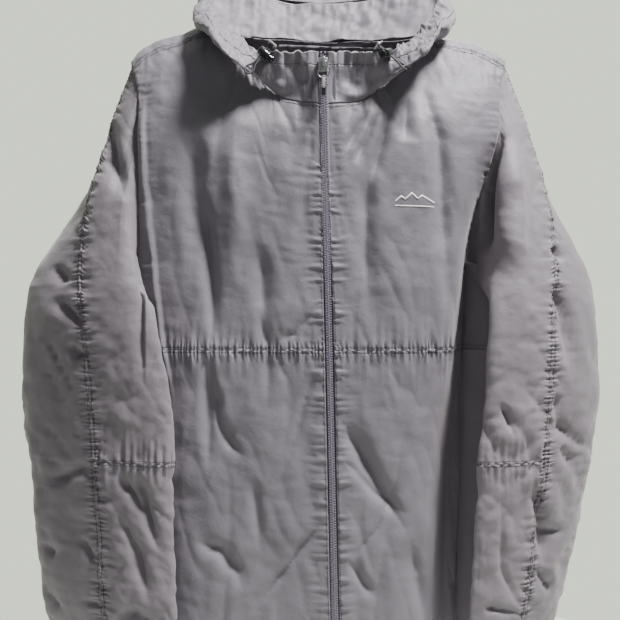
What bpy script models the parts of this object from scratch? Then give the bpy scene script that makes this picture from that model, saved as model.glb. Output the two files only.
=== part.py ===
"""Hooded wind jacket, front zip closed, hood down, hanging by its neck and shoulders.

Metres. +Z up, +X to the right seen from the front, the front faces -Y. The origin is the middle of the neck
at the height of the shoulder line's inner ends. The body is described by two numbers on each face: q, how far
round from the middle (0) to the side (1, negative on the left), and w, how far below the shoulder ridge
(negative on the front, positive on the back).
"""

import math

import bmesh
import bpy
from mathutils import Matrix, Vector

# Cloth
CLOTH = 0.0012  # a layer with its seam allowances
SEAM_GAP = 0.0004  # half of the gap between two sewn pieces of the body
FOLD_GAP = 0.0018  # the same where the seam lies on a fold
RIM_GAP = 0.0026  # the same at the ends and foot of the drawcord tunnel
SIDES = {"left": -1, "right": 1}

# Body
FRONT_DEPTH = 0.064
BACK_DEPTH = 0.056
SQUARENESS = 2.6  # exponent of the body's cross-section
BODY_WIDTHS = ((-0.038, 0.240), (-0.277, 0.221), (-0.420, 0.216), (-0.725, 0.208))
SIDE_SCALE = {"left": 1.0, "right": 0.965}
RIDGE = {"left": (0.006, 0.043, 3.6), "right": (0.004, 0.0385, 2.1)}  # top, drop to the tip, power
TIP_Q = 0.732
FORWARD_SEAM = 0.014  # the yoke comes this far over to the front
CHEST_SEAM_Z = -0.366
YOKE_SEAM_Z = -0.150
HEM_SEAM_Z = -0.700
HEM_Z = -0.725
NECKLINE = (
    (0.000, -0.105),
    (0.087, -0.099),
    (0.142, -0.089),
    (0.241, -0.048),
    (0.292, -0.024),
    (0.304, -FORWARD_SEAM),
    (0.310, 0.000),
    (0.285, 0.006),
    (0.195, 0.011),
    (0.000, 0.014),
)
NECK_CORNER = 5  # the neckline point where the forward shoulder seam starts
ARMHOLE = ((0.690, -0.065), (0.681, -0.100), (0.683, -0.150), (0.717, -0.215), (0.803, -0.262), (1.0, -0.277))
ARMHOLE_YOKE = 4  # the armhole point at the back yoke seam

# Zip, a straight chain that leans a little to the right towards the hem
ZIP_TOP = Vector((0.0, -0.064, -0.042))
ZIP_LEAN = 0.0213
ZIP_ANGLE = math.atan(ZIP_LEAN)
ZIP_BOTTOM_Z = -0.7155
FLY_HALF = 0.006  # fabric edge to zip centre
TAPE_INNER, TAPE_OUTER = 0.0039, 0.013
TOOTH_INNER, TOOTH_OUTER = 0.0010, 0.0034
SLIDER_Z = -0.057
WIRE_RADIUS = 0.0007
PULL_Y = -0.0730
PULLER_AXIS_Z = -0.0545
TAB_AXIS_Z = -0.0720

# Sleeves: height, inner edge x and y, outer edge x and y
SLEEVE_RINGS = {
    "left": (
        (-0.330, 0.180, -0.078, 0.341, 0.004),
        (-0.423, 0.162, -0.080, 0.346, 0.006),
        (-0.534, 0.159, -0.080, 0.332, 0.004),
        (-0.646, 0.158, -0.078, 0.322, 0.004),
        (-0.700, 0.168, -0.072, 0.304, -0.002),
        (-0.728, 0.184, -0.066, 0.290, -0.010),
    ),
    "right": (
        (-0.330, 0.180, -0.078, 0.312, 0.004),
        (-0.423, 0.171, -0.080, 0.317, 0.006),
        (-0.534, 0.163, -0.080, 0.301, 0.004),
        (-0.646, 0.156, -0.078, 0.274, 0.002),
        (-0.700, 0.160, -0.072, 0.262, -0.004),
        (-0.728, 0.170, -0.066, 0.254, -0.010),
    ),
}
SLEEVE_FRONT_HALF, SLEEVE_BACK_HALF = 0.024, 0.016
SLEEVE_TWIST = (97, 122, 150, 175, 215, 262, 315, 380, 457)  # ring angle reached from each eighth of the armhole
ELBOW_SEAM_Z = -0.486
SLEEVE_CLEARANCE = 0.0025
AROUND = 16  # segments round a sleeve

# Collar rim and the crest that the hood folds over: half of each, from the front to the back
CREST = (
    (0.007, -0.064, -0.042),
    (0.036, -0.064, -0.042),
    (0.068, -0.058, -0.040),
    (0.092, -0.036, -0.022),
    (0.114, -0.014, 0.010),
    (0.127, 0.004, 0.036),
    (0.131, 0.022, 0.060),
    (0.112, 0.036, 0.066),
    (0.066, 0.042, 0.050),
    (0.000, 0.044, 0.042),
)
CREST_SIDE = 6  # the crest point where the fixed rim ends and the hood begins
COLLAR_BULGE = (0.002, 0.002, 0.004, 0.009, 0.016, 0.020, 0.018, 0.010, 0.004, 0.000)
CREST_SCALE = {"left": 1.0, "right": 1.06}
TUNNEL_SHARE = 0.26  # part of the collar's height that the drawcord tunnel takes
HOOD_HINGE_GAP = 0.0025

# Cord locks
LOCK_RADIUS, LOCK_LENGTH = 0.0048, 0.013
PLUNGER_RADIUS, PLUNGER_TRAVEL = 0.0032, 0.003
CORD_RADIUS = 0.0010
STRAND_OFFSET = 0.0013
STRAND_LENGTH = 0.0275
LOCKS = {
    "left": {"exit": (-0.0550, -0.0650, -0.0345), "cord": (-0.63, -0.20, -0.75), "button": (0.76, 0.0, -0.65)},
    "right": {"exit": (0.0600, -0.0650, -0.0355), "cord": (0.72, -0.20, -0.66), "button": (-0.35, -0.80, -0.48)},
}
LOCK_DISTANCE = 0.0135  # exit to the middle of the lock

COLOURS = {
    "shell": (0.30, 0.28, 0.31, 1.0),
    "tape": (0.045, 0.042, 0.050, 1.0),
    "teeth": (0.11, 0.10, 0.125, 1.0),
    "metal": (0.42, 0.42, 0.44, 1.0),
    "plastic": (0.012, 0.013, 0.015, 1.0),
    "cord": (0.045, 0.045, 0.052, 1.0),
    "pull": (0.16, 0.155, 0.165, 1.0),
    "patch": (0.62, 0.58, 0.56, 1.0),
}
ROUGHNESS = {"shell": 0.62, "tape": 0.85, "teeth": 0.4, "metal": 0.32, "plastic": 0.28, "cord": 0.8}


def clear_scene():
    for item in list(bpy.data.objects):
        bpy.data.objects.remove(item, do_unlink=True)


def clamp(value, low=0.0, high=1.0):
    return max(low, min(high, value))


def ease(value):
    value = clamp(value)
    return value * value * (3 - 2 * value)


def side_of(q):
    return "left" if q < 0 else "right"


# Curves


def catmull(points, index, t):
    """A point on the smooth curve through the points, a fraction t past point number index."""
    last = len(points) - 1
    a, b, c, d = (Vector(points[int(clamp(index + step, 0, last))]) for step in (-1, 0, 1, 2))
    return 0.5 * (2 * b + (c - a) * t + (2 * a - 5 * b + 4 * c - d) * t**2 + (3 * b - a - 3 * c + d) * t**3)


def resample(points, count):
    """The polyline's points, count + 1 of them, at equal distances."""
    lengths = [0.0]
    for first, second in zip(points, points[1:]):
        lengths.append(lengths[-1] + (second - first).length)
    result, place = [], 0
    for number in range(count + 1):
        target = lengths[-1] * number / count
        while place < len(points) - 2 and lengths[place + 1] < target:
            place += 1
        span = lengths[place + 1] - lengths[place]
        result.append(points[place].lerp(points[place + 1], (target - lengths[place]) / span if span else 0.0))
    return result


def smooth_curve(points, count, first=0, last=None, scale=None):
    """The curve through points[first] to points[last] in count equal steps; scale sets how axes compare."""
    last = len(points) - 1 if last is None else last
    size = Vector(scale) if scale else Vector([1.0] * len(points[0]))
    steps = 12
    dense = [catmull(points, i, j / steps) * size for i in range(first, last) for j in range(steps)]
    dense.append(Vector(points[last]) * size)
    return [Vector([value / unit for value, unit in zip(point, size)]) for point in resample(dense, count)]


# The body's surface


def half_width(side, z):
    for (z0, w0), (z1, w1) in zip(BODY_WIDTHS, BODY_WIDTHS[1:]):
        if z >= z1:
            break
    return SIDE_SCALE[side] * (w0 + (w1 - w0) * clamp((z - z0) / (z1 - z0)))


def ridge(q):
    top, drop, power = RIDGE[side_of(q)]
    return top - drop * (abs(q) / TIP_Q) ** power


def body_point(q, w, inset=0.0):
    """The point of the body's outer surface at q and w; inset moves it inwards."""
    side = side_of(q)
    z = ridge(q) - abs(w)
    across = math.sin(abs(q) * math.pi / 2)
    x = SIDES[side] * half_width(side, z) * across
    roll = clamp(abs(w) / (0.100 + 0.070 * ease(abs(x) / 0.110)))
    depth = (FRONT_DEPTH if w < 0 else BACK_DEPTH) - inset
    y = math.copysign(depth, w) * max(0.0, 1 - across**SQUARENESS) ** (1 / SQUARENESS) * (roll * (2 - roll)) ** 0.75
    return Vector((x, y, z))


def q_at(x, z):
    side = "left" if x < 0 else "right"
    return math.copysign(math.asin(clamp(abs(x) / half_width(side, z))) / (math.pi / 2), x)


def depth_at(q, z, face):
    return face * (ridge(q) - z)


def zip_x(z):
    return ZIP_TOP.x + (ZIP_TOP.z - z) * ZIP_LEAN


def fly_edge(side, z_top, z_bottom, count):
    """The front edge beside the zip, as (q, w) points going down."""
    result = []
    for number in range(count + 1):
        z = z_top + (z_bottom - z_top) * number / count
        q = q_at(zip_x(z) + SIDES[side] * FLY_HALF, z)
        result.append(Vector((q, depth_at(q, z, -1))))
    return result


def armhole_points(side, face):
    """The armhole's control points as (q, w), from the shoulder's tip to the armpit."""
    sign = SIDES[side]
    seam_q = sign * 0.722
    points = [(sign * TIP_Q, 0.0), (seam_q, face * FORWARD_SEAM)]
    points += [(sign * q, depth_at(sign * q, z, face)) for q, z in ARMHOLE]
    return points


def level(side, z, count, face, start=0.0, end=1.0):
    """A horizontal seam on one half of the body, as (q, w) points."""
    sign = SIDES[side]
    steps = [sign * (start + (end - start) * number / count) for number in range(count + 1)]
    return [Vector((q, depth_at(q, z, face))) for q in steps]


def coons(top, bottom, inner, outer):
    """A grid of points between four edges; inner and outer run from top to bottom."""
    rows, columns = len(inner) - 1, len(top) - 1
    grid = []
    for i in range(rows + 1):
        v = i / rows
        row = []
        for j in range(columns + 1):
            u = j / columns
            ruled = top[j] * (1 - v) + bottom[j] * v + inner[i] * (1 - u) + outer[i] * u
            corners = (top[0] * (1 - u) + top[-1] * u) * (1 - v) + (bottom[0] * (1 - u) + bottom[-1] * u) * v
            row.append(ruled - corners)
        grid.append(row)
    return grid


def on_body(grid, inset=0.0):
    return [[body_point(q, w, inset) for q, w in row] for row in grid]


# Objects


def material(kind):
    made = bpy.data.materials.new(kind)
    made.use_nodes = True
    shader = made.node_tree.nodes["Principled BSDF"]
    shader.inputs["Base Color"].default_value = COLOURS[kind]
    shader.inputs["Roughness"].default_value = ROUGHNESS.get(kind, 0.6)
    shader.inputs["Metallic"].default_value = 1.0 if kind == "metal" else 0.0
    return made


def add_object(name, mesh, kind, matrix=None, smooth=True):
    item = bpy.data.objects.new(name, mesh)
    bpy.context.scene.collection.objects.link(item)
    mesh.materials.append(material(kind))
    if smooth:
        mesh.shade_smooth()
        mesh.set_sharp_from_angle(angle=math.radians(40))
    if matrix is not None:
        item.matrix_world = matrix
    return item


def open_seams(grid, ring=False, gap=SEAM_GAP):
    """Draws the grid's edges in by half a seam gap."""
    rows = [list(row) for row in grid]
    for row, neighbour in ((0, 1), (-1, -2)):
        for j, point in enumerate(grid[row]):
            rows[row][j] = point + (grid[neighbour][j] - point).normalized() * gap
    if not ring:
        for row in rows:
            first, last = row[0], row[-1]
            row[0] = first + (row[1] - first).normalized() * gap
            row[-1] = last + (row[-2] - last).normalized() * gap
    return rows


def cloth(name, grid, outside, ring=False, kind="shell", thickness=CLOTH, gap=SEAM_GAP):
    """A cloth piece from a grid of its outer surface. outside points away from the piece's inner face."""
    rows = open_seams(grid, ring, gap)
    columns = len(rows[0])
    points = [point for row in rows for point in row]
    faces = []
    for i in range(len(rows) - 1):
        for j in range(columns if ring else columns - 1):
            k = (j + 1) % columns
            faces.append((i * columns + j, (i + 1) * columns + j, (i + 1) * columns + k, i * columns + k))
    middle = faces[len(faces) // 2]
    a, b, c, d = (points[number] for number in middle)
    if (c - a).cross(d - b).dot(outside(sum((a, b, c, d), Vector()) / 4)) < 0:
        faces = [face[::-1] for face in faces]
    mesh = bpy.data.meshes.new(name)
    mesh.from_pydata(points, [], faces)
    item = add_object(name, mesh, kind)
    layer = item.modifiers.new("thickness", "SOLIDIFY")
    layer.thickness = thickness
    layer.offset = -1
    layer.use_even_offset = False
    return item


def away_from_axis(point):
    return Vector((point.x * 0.2, point.y, 0.0))


def box_mesh(name, size, bevel=0.0):
    mesh = bpy.data.meshes.new(name)
    work = bmesh.new()
    bmesh.ops.create_cube(work, size=1.0)
    bmesh.ops.scale(work, vec=size, verts=work.verts)
    if bevel:
        bmesh.ops.bevel(work, geom=work.edges, offset=bevel, segments=1, affect="EDGES")
    work.to_mesh(mesh)
    work.free()
    return mesh


def cylinder_mesh(name, radius, length, segments=20, bevel=0.0):
    mesh = bpy.data.meshes.new(name)
    work = bmesh.new()
    bmesh.ops.create_cone(
        work, cap_ends=True, segments=segments, radius1=radius, radius2=radius, depth=length
    )
    if bevel:
        rims = [edge for edge in work.edges if abs(edge.verts[0].co.z - edge.verts[1].co.z) < 1e-6]
        bmesh.ops.bevel(work, geom=rims, offset=bevel, segments=1, affect="EDGES")
    work.to_mesh(mesh)
    work.free()
    return mesh


def cut(item, mesh, matrix, operation="DIFFERENCE"):
    """Cuts the mesh, placed by the matrix in the item's own frame, out of the item, or joins it on."""
    tool = bpy.data.objects.new(item.name + "_tool", mesh)
    bpy.context.scene.collection.objects.link(tool)
    tool.matrix_world = item.matrix_world @ matrix
    tool.hide_render = True
    tool.display_type = "WIRE"
    step = item.modifiers.new(operation.lower(), "BOOLEAN")
    step.operation = operation
    step.object = tool
    step.solver = "EXACT"


def wire(name, points, radius, kind, cyclic=False, resolution=2):
    curve = bpy.data.curves.new(name, "CURVE")
    curve.dimensions = "3D"
    curve.resolution_u = 1
    curve.render_resolution_u = 0
    curve.bevel_depth = radius
    curve.bevel_resolution = resolution
    curve.use_fill_caps = not cyclic
    spline = curve.splines.new("POLY")
    spline.points.add(len(points) - 1)
    for place, point in zip(spline.points, points):
        place.co = (*point, 1.0)
    spline.use_cyclic_u = cyclic
    item = bpy.data.objects.new(name, curve)
    curve.materials.append(material(kind))
    bpy.context.scene.collection.objects.link(item)
    return item


# Body panels


def front_panels(side):
    sign = SIDES[side]
    neck = [(sign * q, w) for q, w in NECKLINE]
    neck_z = ridge(0) + NECKLINE[0][1]
    across_neck, across_shoulder, rows = 6, 5, 11
    neck_edge = smooth_curve(neck, across_neck, 0, NECK_CORNER, (0.3, 1.0))
    inner = fly_edge(side, neck_z, CHEST_SEAM_Z, rows)
    neck_edge[0] = inner[0]
    corner, tip = neck_edge[-1], Vector((sign * 0.722, -FORWARD_SEAM))
    shoulder = [corner.lerp(tip, number / across_shoulder) for number in range(1, across_shoulder + 1)]
    top = neck_edge + shoulder
    hole = smooth_curve(armhole_points(side, -1), 8, 1, None, (0.2, 1.0))
    pit_z = ARMHOLE[-1][1]
    under = [Vector((sign, depth_at(sign, pit_z + (CHEST_SEAM_Z - pit_z) * n / 3, -1))) for n in (1, 2, 3)]
    outer = hole + under
    bottom = [Vector((inner[-1].x + (sign - inner[-1].x) * n / (len(top) - 1), 0.0)) for n in range(len(top))]
    bottom = [Vector((point.x, depth_at(point.x, CHEST_SEAM_Z, -1))) for point in bottom]
    cloth(f"front_upper_{side}", on_body(coons(top, bottom, inner, outer)), away_from_axis)
    for name, z_top, z_bottom, rows in (
        ("front_lower", CHEST_SEAM_Z, HEM_SEAM_Z, 7),
        ("hem_front", HEM_SEAM_Z, HEM_Z, 1),
    ):
        edge = fly_edge(side, z_top, z_bottom, rows)
        steps = 9
        grid = []
        for q0, w0 in edge:
            z = ridge(q0) - abs(w0)
            values = [q0 + (sign - q0) * n / steps for n in range(steps + 1)]
            grid.append([Vector((q, depth_at(q, z, -1))) for q in values])
        cloth(f"{name}_{side}", on_body(grid), away_from_axis)


def mirrored(make):
    """Joins a left half and a right half that both run from the middle outwards."""
    left, right = make("left"), make("right")
    return [row_left[:0:-1] + row_right for row_left, row_right in zip(left, right)]


def yoke_half(side):
    sign = SIDES[side]
    neck = [(sign * q, w) for q, w in NECKLINE]
    back_neck = smooth_curve(neck, 5, NECK_CORNER, None, (0.3, 1.0))[::-1]
    tip = Vector((sign * 0.722, -FORWARD_SEAM))
    corner = back_neck[-1]
    top = back_neck + [corner.lerp(tip, n / 4) for n in range(1, 5)]
    back_curve = smooth_curve(armhole_points(side, 1), 6, 0, ARMHOLE_YOKE, (0.2, 1.0))
    outer = [tip, Vector((sign * 0.729, -0.005))] + back_curve
    bottom = level(side, YOKE_SEAM_Z, len(top) - 1, 1, 0.0, abs(outer[-1].x))
    rows = len(outer) - 1
    start = top[0].y
    inner = [Vector((0.0, start + (bottom[0].y - start) * (n / rows) ** 1.6)) for n in range(rows + 1)]
    return on_body(coons(top, bottom, inner, outer))


def back_half(side):
    sign = SIDES[side]
    hole = smooth_curve(armhole_points(side, 1), 5, ARMHOLE_YOKE, None, (0.2, 1.0))
    pit_z, rest = ARMHOLE[-1][1], 6
    under = [
        Vector((sign, depth_at(sign, pit_z + (HEM_SEAM_Z - pit_z) * n / rest, 1))) for n in range(1, rest + 1)
    ]
    outer = hole + under
    top = level(side, YOKE_SEAM_Z, 9, 1, 0.0, abs(outer[0].x))
    bottom = level(side, HEM_SEAM_Z, 9, 1)
    rows = len(outer) - 1
    inner = [Vector((0.0, top[0].y + (bottom[0].y - top[0].y) * n / rows)) for n in range(rows + 1)]
    return on_body(coons(top, bottom, inner, outer))


def hem_half(side):
    return on_body([level(side, z, 9, 1) for z in (HEM_SEAM_Z, HEM_Z)])


def facing_half(side):
    """The back-neck facing, a band just inside the yoke."""
    sign = SIDES[side]
    qs = [sign * 0.19 * n / 4 for n in range(5)]
    return on_body([[Vector((q, w)) for q in qs] for w in (0.020, 0.034, 0.050)], inset=0.008)


def back_panels():
    cloth("back_yoke", mirrored(yoke_half), away_from_axis, gap=0.0007)
    cloth("back_lower", mirrored(back_half), away_from_axis)
    cloth("hem_back", mirrored(hem_half), away_from_axis)
    cloth("neck_facing", mirrored(facing_half), away_from_axis, thickness=0.001)


# Sleeves


def sleeve_ring(side, ring, angle):
    """A point of a flattened ring: angle 0 is its outer edge, 90 its front, 180 its inner edge."""
    z, inner_x, inner_y, outer_x, outer_y = ring
    sign = SIDES[side]
    inner, outer = Vector((sign * inner_x, inner_y, z)), Vector((sign * outer_x, outer_y, z))
    middle, half = (inner + outer) / 2, (outer - inner) / 2
    forward = Vector((half.y, -half.x, 0.0)).normalized()
    if forward.y > 0:
        forward.negate()
    turn = math.radians(angle)
    swell = math.sin(turn) * (SLEEVE_FRONT_HALF if math.sin(turn) > 0 else SLEEVE_BACK_HALF)
    taper = 0.55 + 0.45 * ease((z + 0.728) / 0.1)
    return middle + half * math.cos(turn) + forward * swell * taper


def sleeve_angle(number):
    place = number / AROUND * 8
    index = min(int(place), 7)
    return catmull([(value,) + (0.0,) for value in SLEEVE_TWIST], index, place - index).x


def armhole_ring(side):
    """The armhole as a ring of points: down the front from the shoulder's tip, then up the back."""
    sign = SIDES[side]
    front = smooth_curve(armhole_points(side, -1), AROUND // 2, 0, None, (0.2, 1.0))
    back = smooth_curve(armhole_points(side, 1), AROUND // 2, 0, None, (0.2, 1.0))
    ring = [body_point(q, w) for q, w in front + back[-2:0:-1]]
    return [point + Vector((sign * SLEEVE_CLEARANCE, 0.0, 0.0)) for point in ring]


def sleeve_rails(side, upper_rows):
    """Rows of points from the armhole down to the first flattened ring."""
    sign = SIDES[side]
    start = armhole_ring(side)
    rows = [[] for number in range(upper_rows + 1)]
    for number, point in enumerate(start):
        phi = 2 * math.pi * number / AROUND
        end = sleeve_ring(side, SLEEVE_RINGS[side][0], sleeve_angle(number))
        reach = (end - point).length
        under = 0.5 - 0.5 * math.cos(phi)
        leave = Vector((sign * (0.38 + 0.12 * under), -0.30 * math.sin(phi) - 0.10 * under, -0.90))
        arrive = Vector((sign * (0.20 - 0.30 * under), 0.22 - 0.10 * under, 0.95))
        first = point + leave * reach * 0.35
        second = end + arrive * reach * 0.30
        for row in range(upper_rows + 1):
            t = row / upper_rows
            s = 1 - t
            rows[row].append(point * s**3 + first * 3 * s * s * t + second * 3 * s * t * t + end * t**3)
    return rows


def sleeve_rows(side, upper_rows, heights):
    """All the rows of a sleeve's surface: the rails, then flattened rings at the heights."""
    rows = sleeve_rails(side, upper_rows)
    rings = SLEEVE_RINGS[side]
    for z in heights:
        index = max(n for n in range(len(rings) - 1) if rings[n][0] >= z)
        share = (rings[index][0] - z) / (rings[index][0] - rings[index + 1][0])
        ring = tuple(catmull(rings, index, share))
        ring = (z,) + ring[1:]
        rows.append([sleeve_ring(side, ring, sleeve_angle(n)) for n in range(AROUND)])
    return rows


def away_from_sleeve(side):
    def outside(point):
        rings = SLEEVE_RINGS[side]
        centre = Vector((SIDES[side] * (rings[1][1] + rings[1][3]) / 2, -0.035, point.z))
        return point - centre

    return outside


def sleeve(side):
    upper_rows = 7
    heights = (-0.375, -0.430, ELBOW_SEAM_Z, -0.534, -0.585, -0.630, -0.670, HEM_SEAM_Z)
    rows = sleeve_rows(side, upper_rows, heights)
    elbow = upper_rows + 3
    half = AROUND // 2
    outside = away_from_sleeve(side)
    cloth(f"sleeve_{side}_front_upper", [row[: half + 1] for row in rows[: elbow + 1]], outside, gap=FOLD_GAP)
    cloth(f"sleeve_{side}_front_lower", [row[: half + 1] for row in rows[elbow:]], outside, gap=FOLD_GAP)
    cloth(f"sleeve_{side}_back", [row[half:] + row[:1] for row in rows], outside, gap=FOLD_GAP)
    cuff = sleeve_rows(side, 1, (HEM_SEAM_Z, -0.715, -0.728))[2:]
    cloth(f"cuff_{side}", cuff, outside, ring=True, thickness=0.002)


# Collar and hood


def crest_points(side):
    scale = CREST_SCALE[side]
    return [(SIDES[side] * x * scale, y, z) for x, y, z in CREST]


def collar_rows(side, first, last, count, levels):
    """Rows of the neck stand, from the neck seam up to the crest, between two of the crest's points."""
    sign = SIDES[side]
    neck = smooth_curve([(sign * q, w) for q, w in NECKLINE], count, first, last, (0.3, 1.0))
    foot = [body_point(q, w) for q, w in neck]
    rim = smooth_curve(crest_points(side), count, first, last)
    if first == 0:
        foot[0] = Vector((zip_x(foot[0].z) + sign * FLY_HALF, ZIP_TOP.y, foot[0].z))
        rim[0] = Vector((sign * FLY_HALF, ZIP_TOP.y, rim[0].z))
    bulges = smooth_curve([(value, float(n)) for n, value in enumerate(COLLAR_BULGE)], count, first, last)
    rows = []
    for share in levels:
        row = []
        for low, high, bulge in zip(foot, rim, bulges):
            outward = Vector((high.x, high.y - 0.01, 0.0)).normalized() + Vector((0.0, 0.0, -0.25))
            row.append(low.lerp(high, share) + outward * bulge.x * 4 * share * (1 - share))
        rows.append(row)
    for row in rows:
        if first == 0:
            row[0].x = zip_x(row[0].z) + sign * FLY_HALF
            row[0].y = ZIP_TOP.y
    return rows


def away_from_neck(point):
    return Vector((point.x, point.y - 0.01, 0.0))


def collar():
    split = 1 - TUNNEL_SHARE
    for side in SIDES:
        wall = collar_rows(side, 0, CREST_SIDE, 12, (0.05, 0.25, 0.5, split))
        cloth(f"collar_{side}", wall, away_from_neck, gap=FOLD_GAP)
        tunnel = collar_rows(side, 0, CREST_SIDE, 12, (split, 0.87, 1.0))
        cloth(f"collar_tunnel_{side}", tunnel, away_from_neck, thickness=0.0016, gap=RIM_GAP)

    def nape_half(side):
        return [row[::-1] for row in collar_rows(side, CREST_SIDE, len(CREST) - 1, 6, (0.06, 0.35, 0.7, 1.0))]

    cloth("collar_nape", mirrored(nape_half), away_from_neck, gap=RIM_GAP)


def hood_profile(point):
    """The hood's fall behind the back, from one point of the crest: down the nape, round and up to the brim."""
    reach = abs(point.x) / (CREST[CREST_SIDE][0] * 1.03)
    full = math.sqrt(max(0.0, 1 - min(reach, 0.985) ** 2))
    back = full**0.7
    x, y, z = point
    return [
        Vector((x, y, z)),
        Vector((x * 1.01, y + 0.018 * back, z + 0.010 * full)),
        Vector((x * 1.02, y + 0.036 * back, z - 0.016 * full)),
        Vector((x * 1.02, 0.022 + 0.058 * back, -0.085 * full + (1 - full) * (z - 0.012))),
        Vector((x * 0.94, 0.022 + 0.066 * back, -0.180 * full + (1 - full) * (z - 0.022))),
        Vector((x * 0.88, 0.024 + 0.092 * back, -0.226 * full + (1 - full) * (z - 0.026))),
        Vector((x * 0.94, 0.026 + 0.114 * back, -0.170 * full + (1 - full) * (z - 0.018))),
        Vector((x * 1.02, 0.027 + 0.118 * back, -0.085 * full + (1 - full) * (z - 0.006))),
        Vector((x * 1.05, 0.028 + 0.104 * back, -0.020 * full + (1 - full) * z)),
    ]


def hood_rows(columns, steps):
    """Points of the hood: one row for each column of the crest, running from the crest to the brim."""
    half = columns // 2
    crest = []
    for side, order in (("left", 1), ("right", -1)):
        part = smooth_curve(crest_points(side), half, CREST_SIDE, len(CREST) - 1)
        crest += part if order > 0 else part[-2::-1]
    hinge_offset = Vector((0.0, HOOD_HINGE_GAP * 0.6, HOOD_HINGE_GAP * 0.8))
    return [smooth_curve(hood_profile(point + hinge_offset), steps) for point in crest]


def hood():
    columns, steps = 16, 13
    rows = hood_rows(columns, steps)
    brim = 2

    def outside(point):
        return Vector((0.0, point.y - 0.105, -0.3 * (point.z + 0.1)))

    def part(first, last):
        return [row[: steps - brim + 1] for row in rows[first : last + 1]]

    cloth("hood_side_left", part(0, 6), outside, gap=FOLD_GAP)
    cloth("hood_crown", part(6, 10), outside, gap=FOLD_GAP)
    cloth("hood_side_right", part(10, columns), outside, gap=FOLD_GAP)
    cloth("hood_brim", [row[steps - brim :] for row in rows], outside, thickness=0.0016, gap=FOLD_GAP)


# Zip


def zip_place(z, dx=0.0, y=None):
    """A placement on the zip's line, turned to lean with it."""
    x = zip_x(z) + dx
    y = ZIP_TOP.y if y is None else y
    return Matrix.Translation((x, y, z)) @ Matrix.Rotation(-ZIP_ANGLE, 4, "Y")


def chain_and_tapes():
    top_z, stop_height = -0.0455, 0.0030
    length = (top_z - ZIP_BOTTOM_Z) / math.cos(ZIP_ANGLE)
    middle_z = (top_z + ZIP_BOTTOM_Z) / 2
    box_height = 0.0090
    for side, sign in SIDES.items():
        width = TOOTH_OUTER - TOOTH_INNER
        centre = sign * (TOOTH_INNER + width / 2)
        rail = box_mesh("rail", (width, 0.0024, length))
        add_object(f"zip_teeth_{side}", rail, "teeth", zip_place(middle_z, centre), smooth=False)
        stop = box_mesh("stop", (width + 0.0003, 0.0030, stop_height), 0.0004)
        add_object(f"zip_stop_{side}", stop, "teeth", zip_place(top_z + 0.0021, centre), smooth=False)
        tape_width = TAPE_OUTER - TAPE_INNER
        tape = box_mesh("tape", (tape_width, 0.0008, length))
        place = zip_place(middle_z, sign * (TAPE_INNER + tape_width / 2), ZIP_TOP.y + 0.0021)
        add_object(f"zip_tape_{side}", tape, "tape", place, smooth=False)
    box = box_mesh("box", (0.0092, 0.0034, box_height), 0.0008)
    place = zip_place(ZIP_BOTTOM_Z - 0.0004 - box_height / 2)
    add_object("zip_box", box, "teeth", place, smooth=False)


def slider():
    """Two plates joined by a wedge that runs in the gap between the rows of teeth."""
    length, width, plate = 0.0150, 0.0102, 0.0016
    front_y, back_y = -0.0040, 0.0036
    body = add_object(
        "zip_slider", box_mesh("slider", (width, plate, length), 0.0004), "metal", zip_place(SLIDER_Z), False
    )
    for corner in body.data.vertices:
        corner.co.y += front_y
    wall_depth = 0.0036
    for sign in (-1, 1):
        wall = box_mesh("wall", (0.0011, wall_depth, length - 0.002))
        cut(body, wall, Matrix.Translation((sign * 0.0045, front_y + wall_depth / 2, 0.0)), "UNION")
    wedge = box_mesh("wedge", (0.0010, back_y - front_y + 0.0006, 0.0040))
    cut(body, wedge, Matrix.Translation((0.0, (front_y + back_y) / 2, 0.0045)), "UNION")
    back = box_mesh("back", (width - 0.001, 0.0012, length - 0.001))
    cut(body, back, Matrix.Translation((0.0, back_y, 0.0)), "UNION")
    crown = box_mesh("crown", (0.0030, 0.0062, 0.0068), 0.0006)
    crown_y = PULL_Y - ZIP_TOP.y + 0.0016
    cut(body, crown, Matrix.Translation((0.0, crown_y, PULLER_AXIS_Z - SLIDER_Z - 0.0008)), "UNION")
    eye = cylinder_mesh("eye", WIRE_RADIUS + 0.0005, 0.008, 12)
    turn = Matrix.Rotation(ZIP_ANGLE, 4, "Y") @ Matrix.Rotation(math.pi / 2, 4, "Y")
    cut(body, eye, Matrix.Translation((0.0, PULL_Y - ZIP_TOP.y, PULLER_AXIS_Z - SLIDER_Z)) @ turn)


def puller_outline():
    """Half of the keyhole-shaped wire, from the middle of its top bar to the middle of its foot."""
    return [
        (0.0000, 0.0000),
        (0.0026, 0.0000),
        (0.0034, -0.0010),
        (0.0036, -0.0050),
        (0.0040, -0.0085),
        (0.0056, -0.0112),
        (0.0058, -0.0140),
        (0.0044, -0.0164),
        (0.0022, -0.0174),
        (0.0000, -0.0176),
    ]


def puller_and_tab():
    x = zip_x(PULLER_AXIS_Z)
    half = puller_outline()
    loop = half + [(-a, b) for a, b in half[-2:0:-1]]
    points = [(x + a, PULL_Y, PULLER_AXIS_Z + b) for a, b in loop]
    wire("zip_puller", points, WIRE_RADIUS, "metal", cyclic=True)
    tab_x = zip_x(TAB_AXIS_Z)
    place = Matrix.Translation((tab_x, PULL_Y, TAB_AXIS_Z))
    tab = add_object("zip_pull_tab", box_mesh("tab", (0.0036, 0.0028, 0.0150), 0.0005), "pull", place, False)
    for corner in tab.data.vertices:
        corner.co.z -= 0.0050
    grip = box_mesh("grip", (0.0048, 0.0032, 0.0100), 0.0006)
    cut(tab, grip, Matrix.Translation((0.0, 0.0, -0.0145)), "UNION")
    slot = box_mesh("slot", (0.010, 0.0019, 0.0024))
    cut(tab, slot, Matrix.Translation((0.0, 0.0, -0.0001)))


# Cord locks


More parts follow.
